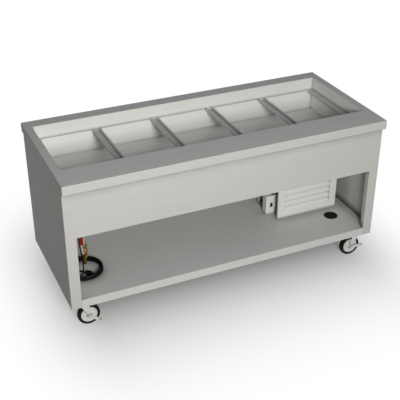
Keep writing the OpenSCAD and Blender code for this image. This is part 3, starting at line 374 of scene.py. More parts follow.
def axes_of(way: Sequence[float], side: Sequence[float]) -> np.ndarray:
    """Give three square axes: one near a side direction, the one square to both, and the way itself.

    Args:
        way: Main direction.
        side: Direction near the first axis, not along the way.

    Returns:
        The three unit axes as the rows of an array.
    """
    w = np.array(way, float) / np.linalg.norm(way)
    u = np.array(side, float) - np.dot(side, w) * w
    u = u / np.linalg.norm(u)
    return np.array([u, np.cross(w, u), w])


def rounded(points: Sequence[Sequence[float]], radius: float | Sequence[float], steps: int = 4,
            closed: bool = False) -> np.ndarray:
    """Round the corners of a line.

    At a corner the arc touches both sides: its centre lies on the corner's bisector at the radius
    over the sine of half the angle. The arc's points turn evenly from one touching point to the
    other, and one more point on each side keeps the flats flat in smooth shading.

    Args:
        points: Corners of the line in order.
        radius: Radius of every corner, or one radius for each.
        steps: Steps along each arc.
        closed: Whether the last corner joins the first.

    Returns:
        Points of the rounded line, with its two ends if it is open.
    """
    p = np.asarray(points, float)
    before, mid, after = (np.roll(p, 1, 0), p, np.roll(p, -1, 0)) if closed else (p[:-2], p[1:-1], p[2:])
    to_a, to_b = before - mid, after - mid
    len_a, len_b = np.linalg.norm(to_a, axis=1), np.linalg.norm(to_b, axis=1)
    a, b = to_a / len_a[:, None], to_b / len_b[:, None]
    half = np.arccos(np.clip((a * b).sum(1), -1, 1)) / 2
    reach = np.minimum(np.asarray(radius) / np.tan(half), ARC_SHARE * np.minimum(len_a, len_b))
    arc_r = reach * np.tan(half)
    bisector = (a + b) / np.linalg.norm(a + b, axis=1)[:, None]
    centre = mid + bisector * (arc_r / np.sin(half))[:, None]
    first, last = mid + a * reach[:, None] - centre, mid + b * reach[:, None] - centre
    sweep = (np.pi - 2 * half)[:, None, None]
    f = np.linspace(0, 1, steps + 1)[None, :, None]
    arc = (np.sin((1 - f) * sweep) * first[:, None] + np.sin(f * sweep) * last[:, None]) / np.sin(sweep)
    hold = HOLD_SHARE * reach[:, None]
    arc = np.concatenate([(first + a * hold)[:, None], arc, (last + b * hold)[:, None]], 1)
    arc = (arc + centre[:, None]).reshape(-1, p.shape[1])
    return arc if closed else np.concatenate([p[:1], arc, p[-1:]])


def sheet(line: np.ndarray, thickness: float) -> np.ndarray:
    """Give the closed outline of folded sheet from its middle line.

    Each point moves half the thickness to either side, square to the line there, and the two sides
    are joined end to end.

    Args:
        line: Points of the middle line in a plane.
        thickness: Thickness of the sheet.

    Returns:
        Points round the outline.
    """
    along = np.gradient(line, axis=0)
    along = along / np.linalg.norm(along, axis=1)[:, None]
    square = np.stack([-along[:, 1], along[:, 0]], 1) * thickness / 2
    return np.concatenate([line + square, (line - square)[::-1]])


def quarter(steps: int) -> list[tuple[float, float]]:
    """Give the sine and cosine of each step through a quarter turn, from 0 to 90 degrees.

    Args:
        steps: Number of angles, both ends included.

    Returns:
        Pairs of sine and cosine.
    """
    turn = np.radians(np.linspace(0, 90, steps))
    return list(zip(np.sin(turn), np.cos(turn)))


def ring(x0: float, x1: float, y0: float, y1: float, corner: float, z: float) -> np.ndarray:
    """Give a level rectangle with rounded corners, as points in space."""
    flat = rounded([(x0, y0), (x1, y0), (x1, y1), (x0, y1)], corner, closed=True)
    return np.column_stack([flat, np.full(len(flat), z)])


def turned(profile: Sequence[Sequence[float]], centre: Sequence[float], way: Sequence[float],
           steps: int) -> Patch:
    """Turn a profile round an axis.

    Args:
        profile: Radius and height along the axis of each point.
        centre: Where the height is 0.
        way: Direction of the axis.
        steps: Points round the axis.

    Returns:
        The turned surface, closed round the axis.
    """
    p = np.asarray(profile, float)
    u, v, w = axes_of(way, START_SIDE if abs(way[2]) < 0.9 else UPRIGHT_SIDE)
    angle = np.linspace(0, 2 * np.pi, steps, endpoint=False)
    circle = np.cos(angle)[:, None] * u + np.sin(angle)[:, None] * v
    return Patch(np.array(centre) + p[:, None, :1] * circle + p[:, None, 1:] * w, loop_columns=True)


def drawn(outline: np.ndarray, start: Sequence[float], end: Sequence[float], axes: np.ndarray) -> Patch:
    """Draw a closed flat outline along a straight line and close both ends.

    Args:
        outline: Points of the outline in its own plane.
        start: Where the outline's origin starts.
        end: Where it ends.
        axes: The outline's two axes in space, as rows.

    Returns:
        The drawn solid's surface.
    """
    flat = outline @ np.asarray(axes, float)[:2]
    rows = np.stack([flat + np.array(start, float), flat + np.array(end, float)])
    return Patch(rows, loop_columns=True, caps=True)


@dataclass
class Bench:
    """Puts finished surfaces into the scene with their finish, body and edges.

    Points of a new surface nearer than weld are one, an edge shorter than sliver is dropped, and a
    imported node's copy takes copy_weld and joins faces that bend less than flat_deg.
    """

    finishes: Finishes
    weld: float = 0.000004
    sliver: float = 0.000001
    copy_weld: float = 0.00001
    flat_deg: float = 0.8
    edge_steps: int = 2

    def piece(self, name: str, patches: Sequence[Patch], slot: str, node: str, *, edge_mm: float = 0.0,
              sheet_mm: float = 0.0, smooth_deg: float = CRISP_DEG) -> bpy.types.Object:
        """Join surfaces into one object.

        Args:
            name: Name of the object.
            patches: Its surfaces, in millimetres.
            slot: Finish that it takes.
            node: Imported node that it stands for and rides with.
            edge_mm: Width of its broken edges.
            sheet_mm: Thickness that an open surface gets behind its face.
            smooth_deg: Edges sharper than this stay crisp.

        Returns:
            The object, at the origin.
        """
        starts = np.cumsum([0] + [patch.points[..., 0].size for patch in patches])
        points = np.concatenate([patch.points.reshape(-1, 3) for patch in patches]) * MM
        faces = [face for patch, start in zip(patches, starts) for face in patch.faces(int(start))]
        mesh = bpy.data.meshes.new(name)
        mesh.from_pydata(points.tolist(), [], faces)
        shape = bmesh.new()
        shape.from_mesh(mesh)
        bmesh.ops.remove_doubles(shape, verts=shape.verts, dist=self.weld)
        bmesh.ops.dissolve_degenerate(shape, edges=shape.edges, dist=self.sliver)
        if sheet_mm:
            if sum(face.normal.z * face.calc_area() for face in shape.faces) < 0:
                bmesh.ops.reverse_faces(shape, faces=shape.faces)
        else:
            bmesh.ops.recalc_face_normals(shape, faces=shape.faces)
        shape.to_mesh(mesh)
        shape.free()
        piece = self.finish(name, mesh, slot, node, edge_mm, smooth_deg)
        if sheet_mm:
            wall = piece.modifiers.new("sheet", "SOLIDIFY")
            wall.thickness = sheet_mm * MM
            wall.offset = -1.0
            wall.use_even_offset = True
        return piece

    def finish(self, name: str, mesh: bpy.types.Mesh, slot: str, node: str, edge_mm: float,
               smooth_deg: float) -> bpy.types.Object:
        """Give a mesh its material, shading and edges, and tie it to its node's body.

        Args:
            name: Name of the object.
            mesh: Its mesh, in metres.
            slot: Finish that it takes.
            node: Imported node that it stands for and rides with.
            edge_mm: Width of its broken edges.
            smooth_deg: Edges sharper than this stay crisp.

        Returns:
            The object, at the origin.
        """
        mesh.materials.clear()
        mesh.materials.append(self.finishes.get(slot))
        mesh.shade_smooth()
        mesh.set_sharp_from_angle(angle=math.radians(smooth_deg))
        piece = bpy.data.objects.new(name, mesh)
        bpy.context.scene.collection.objects.link(piece)
        if edge_mm:
            bevel = piece.modifiers.new("broken edges", "BEVEL")
            bevel.width = edge_mm * MM
            bevel.segments = self.edge_steps
            bevel.limit_method = "ANGLE"
            bevel.angle_limit = math.radians(smooth_deg)
            bevel.harden_normals = True
        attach(piece, BODY_OF[node])
        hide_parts(node)
        log.info("%s: %d faces, rides %s", name, len(mesh.polygons), BODY_OF[node])
        return piece

    def copy(self, node: str, edge_mm: float) -> None:
        """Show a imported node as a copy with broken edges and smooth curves, in the node's own finish.

        The copy's loose triangles are merged and its flat ones joined before its edges are broken.

        Args:
            node: Name of the node.
            edge_mm: Width of the broken edges.
        """
        mesh = frame["nodes"][node].data.copy()
        shape = bmesh.new()
        shape.from_mesh(mesh)
        bmesh.ops.remove_doubles(shape, verts=shape.verts, dist=self.copy_weld)
        bmesh.ops.dissolve_limit(shape, angle_limit=math.radians(self.flat_deg), verts=shape.verts,
                                 edges=shape.edges)
        shape.to_mesh(mesh)
        shape.free()
        self.finish("look_" + node, mesh, SLOT_OF[node], node, edge_mm, CRISP_DEG)


# Counter top, well and bars
@dataclass
class CounterTop:
    """Pressed top with its opening, turned-down edges and hems.

    The opening is its half length and its front and back. A hold is the flat kept beside a bend.
    """

    half: float = 940.0
    front: float = -406.0
    back: float = 406.0
    level: float = 914.0
    thickness: float = 1.5
    edge: float = 52.0
    hem: float = 12.0
    hem_gap: float = 0.02
    edge_round: float = 2.2
    hem_round: float = 4.0
    hold: float = 0.3
    opening: tuple[float, float, float] = (895.5, -231.0, 325.0)
    lip_round: float = 1.3
    opening_corner: float = 1.5
    outer_corner: float = 2.6
    least_corner: float = 0.4

    def rings(self) -> np.ndarray:
        """Carry the top's section round its outline.

        The section starts under the opening's lip, rolls over it, crosses to the outer edge, rolls
        down the skirt, turns in along the hem and comes back under the sheet. Each of its points is
        a rounded rectangle; those between the opening and the outer edge share one level.

        Returns:
            Rows of points, one row for each point of the section.
        """
        ox, oy0, oy1 = self.opening
        low = self.level - self.edge
        r, thick = self.lip_round, self.thickness
        under = self.level - thick
        lip = [(r * (1 - sine), self.level - r * (1 - cosine)) for sine, cosine in quarter(5)[::-1]]
        rows = [ring(-ox - g, ox + g, oy0 - g, oy1 + g, self.opening_corner + g, z)
                for g, z in [(0, under), *lip, (r + self.hold, self.level)]]
        places = [*self.skirt(low), (thick + self.hem_gap, low, self.hem),
                  (thick + self.hem_gap, low + thick, self.hem), (thick, low + thick), (thick, under)]
        rows += [self.outer(*place) for place in places]
        return np.array(rows)

    def skirt(self, low: float) -> list[tuple[float, float, float]]:
        """Give the skirt's section from the top's flat to the hem's bend.

        Args:
            low: Level of the skirt's lower edge.

        Returns:
            Inset, level and turn-in at front and back of each point.
        """
        r, roll, hold = self.edge_round, self.hem_round, self.hold
        upper = [(r * (1 - sine), self.level - r * (1 - cosine), 0.0) for sine, cosine in quarter(7)]
        lower = [(self.thickness * (1 - cosine), low + roll * (1 - sine), roll * (1 - cosine))
                 for sine, cosine in quarter(7)]
        return [(r + hold, self.level, 0.0), *upper, (0, self.level - r - hold, 0.0),
                (0, low + roll + hold, 0.0), *lower]

    def outer(self, inset: float, z: float, hem: float = 0.0) -> np.ndarray:
        """Give one rectangle of the outer edge.

        Args:
            inset: Distance that each side is drawn in.
            z: Level of the rectangle.
            hem: Least distance that front and back are drawn in.

        Returns:
            The rectangle's points.
        """
        deep = max(inset, hem)
        return ring(inset - self.half, self.half - inset, self.front + deep, self.back - deep,
                    max(self.outer_corner - inset, self.least_corner), z)

    def build(self, bench: Bench) -> None:
        """Make the top."""
        bench.piece("counter_sheet", [Patch(self.rings(), loop_rows=True, loop_columns=True)],
                    "stainless_sheet", "counter_top")


@dataclass
class Well:
    """Drawn liner: flange, upper wall, ledge for the bars, lower wall and floor with its drain.

    The corners are the radii at the flange, at its bend, on the walls and at the floor.
    """

    x: float = 895.5
    y0: float = -231.0
    y1: float = 325.0
    top: float = 912.5
    ledge: float = 835.0
    ledge_w: float = 12.0
    ledge_round: float = 0.5
    floor: float = 713.0
    sheet: float = 1.2
    flange: float = 14.0
    bend: float = 0.4
    corners: tuple[float, float, float, float] = (2.0, 1.8, 1.5, 5.0)
    drain: tuple[float, float] = (-789.0, -161.0)
    drain_r: float = 10.95
    floor_round: float = 7.0
    floor_rows: tuple[float, ...] = (0.004, 0.5, 0.9, 0.985, 1.0)

    def grown(self, by: float, corner: float, z: float) -> np.ndarray:
        """Give the liner's outline at a level, moved out by a distance."""
        return ring(-self.x - by, self.x + by, self.y0 - by, self.y1 + by, corner, z)

    def build(self, bench: Bench) -> None:
        """Carry the section round the well, then draw the floor in to the round drain hole.

        The floor's rows run straight from the rounded rectangle to the hole: each is a share of the
        way between them, and every column heads for the drain's middle.

        Args:
            bench: Bench that takes the pieces.
        """
        w, r, low = self.ledge_w, self.ledge_round, self.floor_round
        outer, turned_in, wall, foot = self.corners
        places = [(self.flange, outer, self.top), (self.bend, turned_in, self.top),
                  (0, wall, self.top - self.bend)]
        places += [(-r * (1 - cosine), wall, self.ledge + r * (1 - sine)) for sine, cosine in quarter(6)]
        places += [(-w + r * (1 - sine), wall, self.ledge - r * (1 - cosine)) for sine, cosine in quarter(6)]
        places += [(-w - low * (1 - cosine), foot, self.floor + low * (1 - sine))
                   for sine, cosine in quarter(6)]
        rows = [self.grown(*place) for place in places]
        edge = rows[-1][:, :2]
        way = np.arctan2(edge[:, 1] - self.drain[1], edge[:, 0] - self.drain[0])
        hole = np.stack([np.cos(way), np.sin(way)], 1) * self.drain_r + self.drain
        share = np.array(self.floor_rows)[:, None, None]
        flat = edge * (1 - share) + hole * share
        floor = np.concatenate([flat, np.full(flat.shape[:2] + (1,), self.floor)], 2)
        bench.piece("well_sheet", [Patch(np.concatenate([np.array(rows), floor]), loop_columns=True)],
                    "stainless_liner", "well_liner", sheet_mm=self.sheet)


@dataclass
class Bars:
    """Folded divider bars and end rails that carry the food pans.

    A bearing strip's lugs stop short of its outer and inner bends by the two reliefs, and only the
    band under the bar's level is a lug.
    """

    pitch: float = 354.0
    width: float = 54.0
    strip: float = 13.0
    sink: float = 7.8
    flange: float = 9.0
    rail_flange: float = 14.0
    relief: tuple[float, float] = (2.5, 2.2)
    band: float = 1.8
    thickness: float = 1.5
    level: float = 836.8
    bend: float = 2.0
    broken: float = 0.25
    lugs: tuple[float, float] = (-230.0, 324.0)
    ends: tuple[float, float] = (-218.5, 312.5)
    rail: float = 37.5
    rail_x: float = 895.5
    rail_gap: float = 0.5
    count: int = 4

    def folded(self, corners: Sequence[tuple[float, float]], tabs: Sequence[tuple[float, float]]) -> Patch:
        """Draw a folded section along Y, with its bearing strips longer than the rest.

        A point of the section runs from lug to lug where its X lies on a bearing strip, and from
        end to end elsewhere.

        Args:
            corners: Corners of the sheet's middle line, as X and Z.
            tabs: X ranges of the bearing strips.

        Returns:
            The bar's surface.
        """
        line = rounded(corners, self.bend, 5)
        outline = sheet(line, self.thickness)
        on = sum(((outline[:, 0] >= a) & (outline[:, 0] <= b)) for a, b in tabs).astype(bool)
        on &= outline[:, 1] > self.level - self.band
        rows = [np.column_stack([outline[:, 0], np.where(on, lug, end), outline[:, 1]])
                for lug, end in zip(self.lugs, self.ends)]
        return Patch(np.array(rows), loop_columns=True, caps=True)

    def build(self, bench: Bench) -> None:
        """Make four bars and two end rails.

        Args:
            bench: Bench that takes the pieces.
        """
        t = self.thickness / 2
        half, web, top = self.width / 2, self.width / 2 - self.strip, self.level - t
        out, inside = self.relief
        section = [(half - t, self.level - self.flange), (half - t, top), (web + t, top),
                   (web + t, top - self.sink)]
        for k in range(self.count):
            x = (k - (self.count - 1) / 2) * self.pitch
            corners = [(x - a, z) for a, z in section] + [(x + a, z) for a, z in section[::-1]]
            tabs = [(x - half + out, x - web - inside), (x + web + inside, x + half - out)]
            bench.piece(f"pan_bar_{k + 1}", [self.folded(corners, tabs)], "stainless_bar",
                        f"divider_bar_{k + 1}", edge_mm=self.broken)
        for side, name in ((-1, "left"), (1, "right")):
            inner, outer = side * (self.rail_x - self.rail + t), side * (self.rail_x - self.rail_gap)
            corners = [(inner, self.level - self.rail_flange), (inner, top), (outer, top)]
            tabs = [tuple(sorted((inner + side * out, outer + side)))]
            bench.piece(f"pan_rail_{name}", [self.folded(corners, tabs)], "stainless_bar",
                        f"end_rail_{name}", edge_mm=self.broken)


# Casters
class Corner(Enum):
    """The four casters, by the sign of X and Y of their corner."""

    FL = (-1, -1)
    FR = (1, -1)
    BL = (-1, 1)
    BR = (1, 1)

    @property
    def tag(self) -> str:
        """Give the ending of this corner's node names."""
        return self.name.lower()


@dataclass
class Casters:
    """Wheels with a rubber tyre on a pale hub, and the folded forks that carry them."""

    swivel: tuple[float, float] = (860.5, 316.0)
    trail: float = 27.0
    radius: float = 63.5
    tread: float = 32.0
    hub: float = 46.5
    bore: float = 6.05
    leg_y: float = 24.0
    leg_t: float = 3.5
    crown: float = 146.0
    crown_half: float = 28.0
    leg_half: float = 13.0
    leg_flare: float = 10.0
    leg_low: float = 10.0
    leg_round: float = 11.2
    leg_bend: float = 4.5

    def centre(self, corner: Corner) -> tuple[float, float, float]:
        """Give the middle of a wheel."""
        sx, sy = corner.value
        return (sx * (self.swivel[0] - self.trail), sy * self.swivel[1], self.radius)

    def tyre(self) -> np.ndarray:
        """Give the tyre's section: a crowned tread between rounded shoulders, with a moulding line.

        Returns:
            Radius and place along the axle of each point, side to side.
        """
        r, w, hub = self.radius, self.tread / 2, self.hub
        half = [(r, 0.4), (r - 0.2, 0.8), (r - 0.2, 5.0), (r - 2.2, w - 1.6), (r - 9, w), (hub, w - 2.2)]
        corners = [(reach, -side) for reach, side in half[::-1]] + half
        radii = np.array([5, 2.4, 9, 0.2, 0.15, 0.15, 0.2, 9, 2.4, 5])
        return rounded(corners, radii, 4)

    def disc(self) -> np.ndarray:
        """Give the hub's section: a raised rim, a dished web and a boss round the axle.

        Returns:
            Radius and place along the axle of each point, side to side.
        """
        w, hub, bore = self.tread / 2, self.hub, self.bore
        half = [(hub - 0.05, 0.6), (hub - 0.05, w - 1.6), (hub - 4.0, w - 1.2), (hub - 6.5, w - 4.2),
                (24.0, w - 5.4), (16.0, w - 3.0), (14.0, w + 3.7), (bore, w + 3.7)]
        top = rounded(half, [0.8, 0.9, 1.6, 3.0, 2.4, 1.0], 4)[1:]
        return np.concatenate([top[::-1] * (1, -1), top])

    def fork(self, corner: Corner) -> Patch:
        """Fold the fork: the sheet's middle line runs down one leg, across the crown and down the other.

        Along X each point of that section spans the leg's width at its height. The width falls in a
        straight taper from the crown to the axle and closes in a half round under it.

        Args:
            corner: Caster that the fork belongs to.

        Returns:
            The fork's surface.
        """
        sx, sy = corner.value
        x0, y0 = sx * self.swivel[0], sy * self.swivel[1]
        end, taper, out = self.radius - self.leg_low, self.radius + self.leg_low, self.leg_y + self.leg_t / 2
        top = self.crown - self.leg_t / 2
        levels = np.concatenate([np.linspace(end, taper, 9), np.linspace(taper + 12, top - 8, 4)])
        leg = np.column_stack([np.full(len(levels), -out), levels])
        bend = rounded([leg[-1], (-out, top), (-4.0, top)], self.leg_bend, 6)[1:-1]
        half_line = np.concatenate([leg, bend])
        outline = sheet(np.concatenate([half_line, (half_line * (-1, 1))[::-1]]), self.leg_t)
        share = np.clip((outline[:, 1] - taper) / (self.crown - taper), 0, 1)
        low = np.clip((self.radius + 1.0 - outline[:, 1]) / self.leg_round, 0, 1)
        width = self.leg_half * np.sqrt(1 - 0.94 * low ** 2) + self.leg_flare * share
        width = np.where(outline[:, 1] > top - 2.6, self.crown_half, width)
        middle = x0 - sx * self.trail * (1 - share)
        rows = [np.column_stack([middle + side * width, y0 + outline[:, 0], outline[:, 1]])
                for side in (-1, 1)]
        return Patch(np.array(rows), loop_columns=True, caps=True)

    def build(self, bench: Bench) -> None:
        """Make the four casters.

        Args:
            bench: Bench that takes the pieces.
        """
        tyre, disc = self.tyre(), self.disc()
        for corner in Corner:
            tag, centre = corner.tag, self.centre(corner)
            wheel = f"caster_wheel_{tag}"
            bench.piece(f"tyre_{tag}", [turned(tyre, centre, (0, 1, 0), 96)], "tread_rubber", wheel)
            bench.piece(f"hub_{tag}", [turned(disc, centre, (0, 1, 0), 72)], "wheel_hub", wheel)
            bench.piece(f"fork_{tag}", [self.fork(corner)], "zinc_steel", f"caster_fork_{tag}", edge_mm=0.6)
            bench.copy(f"caster_plate_{tag}", 0.6)
            bench.copy(f"caster_axle_{tag}", 0.5)
        for tag in ("fl", "fr"):
            bench.copy(f"brake_lever_{tag}", 0.9)
        bench.copy("caster_bolts", 0.4)
        bench.copy("caster_pads", 0.5)


# Small parts
@dataclass
class Plug:
    """Moulded plug: a ribbed relief that swells into a waisted body, with two blades and a pin."""

    place: tuple[float, float, float] = (-801.0, -140.0, 215.5)
    turn_deg: float = -45.0
    cord: float = 8.0
    relief: float = 22.0
    body: float = 34.0
    width: float = 26.0
    height: float = 24.0
    ring_pitch: float = 3.6
    ring_depth: float = 0.35
    waist: float = 0.07
    square: float = 1.6
    blade: float = 16.0
    blade_half: float = 3.2
    blade_t: float = 1.5
    blade_off: float = 6.35
    pin_drop: float = 8.0

    def axes(self) -> np.ndarray:
        """Give the plug's own axes: along it, across it and up."""
        a = math.radians(self.turn_deg)
        return np.array([[math.cos(a), math.sin(a), 0], [-math.sin(a), math.cos(a), 0], [0, 0, 1.0]])

    def moulding(self) -> Patch:
        """Carry rounded sections along the plug.

        A section is a superellipse, |y/a|^n + |z/b|^n = 1. Along the relief a and b grow from the
        cord's radius with a ring every 3.6 mm; along the body they go from the neck to the full width
        with a shallow waist, and n grows from 2 to 3.6, so that a round cord turns into a squarish body.

        Returns:
            The moulding's surface.
        """
        s = np.concatenate([np.linspace(0, self.relief, 34), self.relief + self.body * np.array(
            [0.03, 0.08, 0.16, 0.28, 0.42, 0.56, 0.7, 0.82, 0.92, 0.97, 0.99, 1.0])])
        t = np.clip(s / self.relief, 0, 1)
        f = np.clip((s - self.relief) / self.body, 0, 1)
        rings = self.ring_depth * np.cos(2 * np.pi * s / self.ring_pitch) * (s < self.relief - 1.5)
        swell = np.sin(np.clip(f / 0.3, 0, 1) * np.pi / 2) ** 0.8
        close = np.sqrt(np.clip(1 - ((f - 0.9) / 0.1).clip(0, 1) ** 2, 0, 1))
        waist = 1 - self.waist * np.sin(np.pi * np.clip((f - 0.3) / 0.6, 0, 1))
        neck = self.cord / 2 + 0.6 + 2.6 * t + rings - self.ring_depth
        drawn_in = waist * (0.86 + 0.14 * close)
        a = (neck + (self.width / 2 - neck) * swell) * drawn_in
        b = (neck + (self.height / 2 - neck) * swell) * drawn_in
        n = (2 + self.square * swell)[:, None]
        angle = np.linspace(0, 2 * np.pi, 48, endpoint=False)[None, :]
        c, d = np.cos(angle), np.sin(angle)
        y = a[:, None] * np.sign(c) * np.abs(c) ** (2 / n)
        z = b[:, None] * np.sign(d) * np.abs(d) ** (2 / n)
        own = np.stack([np.broadcast_to(s[:, None], y.shape), y, z], -1)
        return Patch(own @ self.axes() + np.array(self.place), loop_columns=True, caps=True)

    def blades(self) -> list[Patch]:
        """Make two flat blades with rounded tips and a round pin with a domed end.

        Returns:
            The surface of each.
        """
        along, across, up = self.axes()
        foot = self.relief + self.body - 3.0
        tip = self.blade + 3.0
        w = self.blade_half
        outline = rounded([(0, -w), (tip, -w), (tip, w), (0, w)], [0.05, 2.2, 2.2, 0.05], 5, closed=True)
        out = []
        for side in (-1, 1):
            start = np.array(self.place) + along * foot + across * (side * self.blade_off - self.blade_t / 2)
            out.append(drawn(outline, start, start + across * self.blade_t, np.array([along, up])))
        dome = [(0, tip + 2), (1.2, tip + 1.8), (2.0, tip + 1.1), (2.4, tip), (2.4, 0), (0, 0)]
        out.append(turned(dome, np.array(self.place) + along * foot - up * self.pin_drop, along, 28))
        return out

    def build(self, bench: Bench) -> list[bpy.types.Object]:
        """Make the plug's moulding and its brass blades."""
        return [bench.piece("plug_moulding", [self.moulding()], "cord_rubber", "cord_plug"),
                bench.piece("plug_blades", self.blades(), "brass_casting", "cord_plug", edge_mm=0.15)]


@dataclass
class Gland:
    """Cord gland: a knurled dome nut and a ringed rubber taper that guides the cord."""

    place: tuple[float, float, float] = (-832.0, -207.0, 632.5)
    radius: float = 12.0
    nut: float = 12.0
    length: float = 32.0
    cord: float = 8.0
    flutes: int = 16
    flute_share: float = 0.028
    ring_pitch: float = 3.0
    ring_depth: float = 0.3

    def build(self, bench: Bench) -> None:
        """Turn the nut with shallow flutes, and the taper with a ring at every pitch.

        Near its rim a point of the nut moves out by a share of its radius that goes as the cosine of
        its angle times the number of flutes.

        Args:
            bench: Bench that takes the pieces.
        """
        nut = [(0, 0), (self.radius - 1.6, 0), (self.radius - 0.6, 0.8), (self.radius - 0.6, self.nut - 3),
               (self.radius - 2.4, self.nut), (0, self.nut)]
        patch = turned(nut, self.place, (0, 0, -1), 96)
        middle = np.array(self.place)
        off = patch.points - middle
        angle = np.arctan2(off[..., 1], off[..., 0])
        reach = np.hypot(off[..., 0], off[..., 1])
        flutes = np.where(reach > self.radius - 1.2, self.flute_share * np.cos(self.flutes * angle), 0)
        off[..., :2] *= 1 + flutes[..., None]
        patch.points = middle + off
        h = np.linspace(self.nut - 0.5, self.length, 60)
        taper = np.linspace(self.radius - 3.2, self.cord / 2 + 1.1, len(h))
        taper += self.ring_depth * np.cos(2 * np.pi * h / self.ring_pitch)
        relief = turned([(0, h[0]), *zip(taper, h), (0, h[-1])], self.place, (0, 0, -1), 48)
        bench.piece("cord_gland_nut", [patch], "black_plastic", "cord_gland", smooth_deg=50)
        bench.piece("cord_gland_relief", [relief], "black_rubber", "cord_gland", smooth_deg=60)


@dataclass
class Fan:
    """Pressed aluminium fan: four blades whose pitch falls from the hub to the tip."""

    place: tuple[float, float, float] = (688.8, 11.0, 353.0)
    hub: float = 18.0
    tip: float = 96.0
    depth: float = 22.0
    shaft: float = 3.0
    shaft_to: float = 55.0
    blades: int = 4
    chord: tuple[float, float] = (9.0, 25.0)
    pitch_deg: float = 38.0
    twist_deg: float = 14.0
    camber: float = 3.0
    sweep: float = 10.0

    def blade(self, turn: float) -> Patch:
        """Make one blade as a curved sheet.

        Along its span s half the chord is its root plus a swell that goes as the sine of s, and it
        closes round at the tip. The pitch falls evenly by the twist, the sheet is cambered as a
        parabola across the chord, and the blade sweeps forward as the square of s.

        Args:
            turn: Angle of the blade round the hub.

        Returns:
            The sheet's outer face.
        """
        s = np.linspace(0, 1, 14)[:, None]
        c = np.linspace(-1, 1, 13)[None, :]
        reach = self.hub - 3 + (self.tip - self.hub + 3) * s
        root, swell = self.chord
        chord = (root + swell * np.sin(0.62 * np.pi * s)) * np.sqrt(1 - (s * 0.985) ** 8)
        pitch = np.radians(self.pitch_deg - self.twist_deg * s)
        across = c * chord * np.cos(pitch)
        along = self.depth / 2 + c * chord * np.sin(pitch) * 0.62 + self.camber * (1 - c ** 2) * s
        angle = turn + (across + self.sweep * s ** 2) / reach
        x, z = reach * np.cos(angle), reach * np.sin(angle)
        return Patch(np.stack([x, np.broadcast_to(along, x.shape), z], -1) + np.array(self.place))

    def build(self, bench: Bench) -> None:
        """Make the hub with its shaft, and the blades.

        Args:
            bench: Bench that takes the pieces.
        """
        slot = SLOT_OF["fan_blade"]
        hub = rounded([(0, 0), (self.hub, 0), (self.hub, self.depth), (self.shaft, self.depth),
                       (self.shaft, self.shaft_to), (0, self.shaft_to)], [2.0, 1.5, 0.5, 0.4], 4)
        bench.piece("fan_hub", [turned(hub, self.place, (0, 1, 0), 48)], slot, "fan_blade")
        for k in range(self.blades):
            bench.piece(f"fan_blade_{k + 1}", [self.blade(k * 2 * math.pi / self.blades)], slot, "fan_blade",
                        sheet_mm=1.2)


@dataclass
class SheetWork:
    """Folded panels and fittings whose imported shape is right; they get their edges and finish.

    Each entry is a width of broken edge in millimetres and the nodes that have it.
    """

    edges: tuple[tuple[float, tuple[str, ...]], ...] = (
        (0.35, ("front_apron", "side_panel_left", "side_panel_right", "back_panel", "undershelf",
                "louvre_panel", "support_post")),
        (0.4, ("control_box", "rocker_switch", "unit_base", "fan_shroud", "fan_motor", "valve_stem",
               "valve_lever", "drain_pipe", "drain_tail", "shelf_grommet")),
        (0.0, ("wiring_conduit", "compressor", "refrigerant_tubing", "condenser_coil", "well_casing",
               "well_insulation")),
        (1.1, ("valve_body",)),
        (1.6, ("lever_grip",)))

    def build(self, bench: Bench) -> None:
        """Dress each of them with edges broken by its own width.

        Args:
            bench: Bench that takes the pieces.
        """
        for width, names in self.edges:
            for name in names:
                bench.copy(name, width)


# Camera and studio
@dataclass
class ViewCamera:
    """Camera that stands where the photograph was taken, solved from the counter's corners."""

    place: tuple[float, float, float] = (-1.76964, -3.86740, 2.86830)
    turn_deg: tuple[float, float, float] = (59.9573, -0.0395, -24.2331)
    lens_mm: float = 75.129

    def build(self) -> None:
        """Make the camera and use it for the scene."""
        data = bpy.data.cameras.new("view")
        data.sensor_fit = "HORIZONTAL"
        data.sensor_width = 36.0
        data.lens = self.lens_mm
        data.clip_start = 0.1
        data.clip_end = 200.0
        camera = bpy.data.objects.new("view", data)
        camera.location = self.place
        camera.rotation_euler = [math.radians(a) for a in self.turn_deg]
        bpy.context.scene.collection.objects.link(camera)
        bpy.context.scene.camera = camera


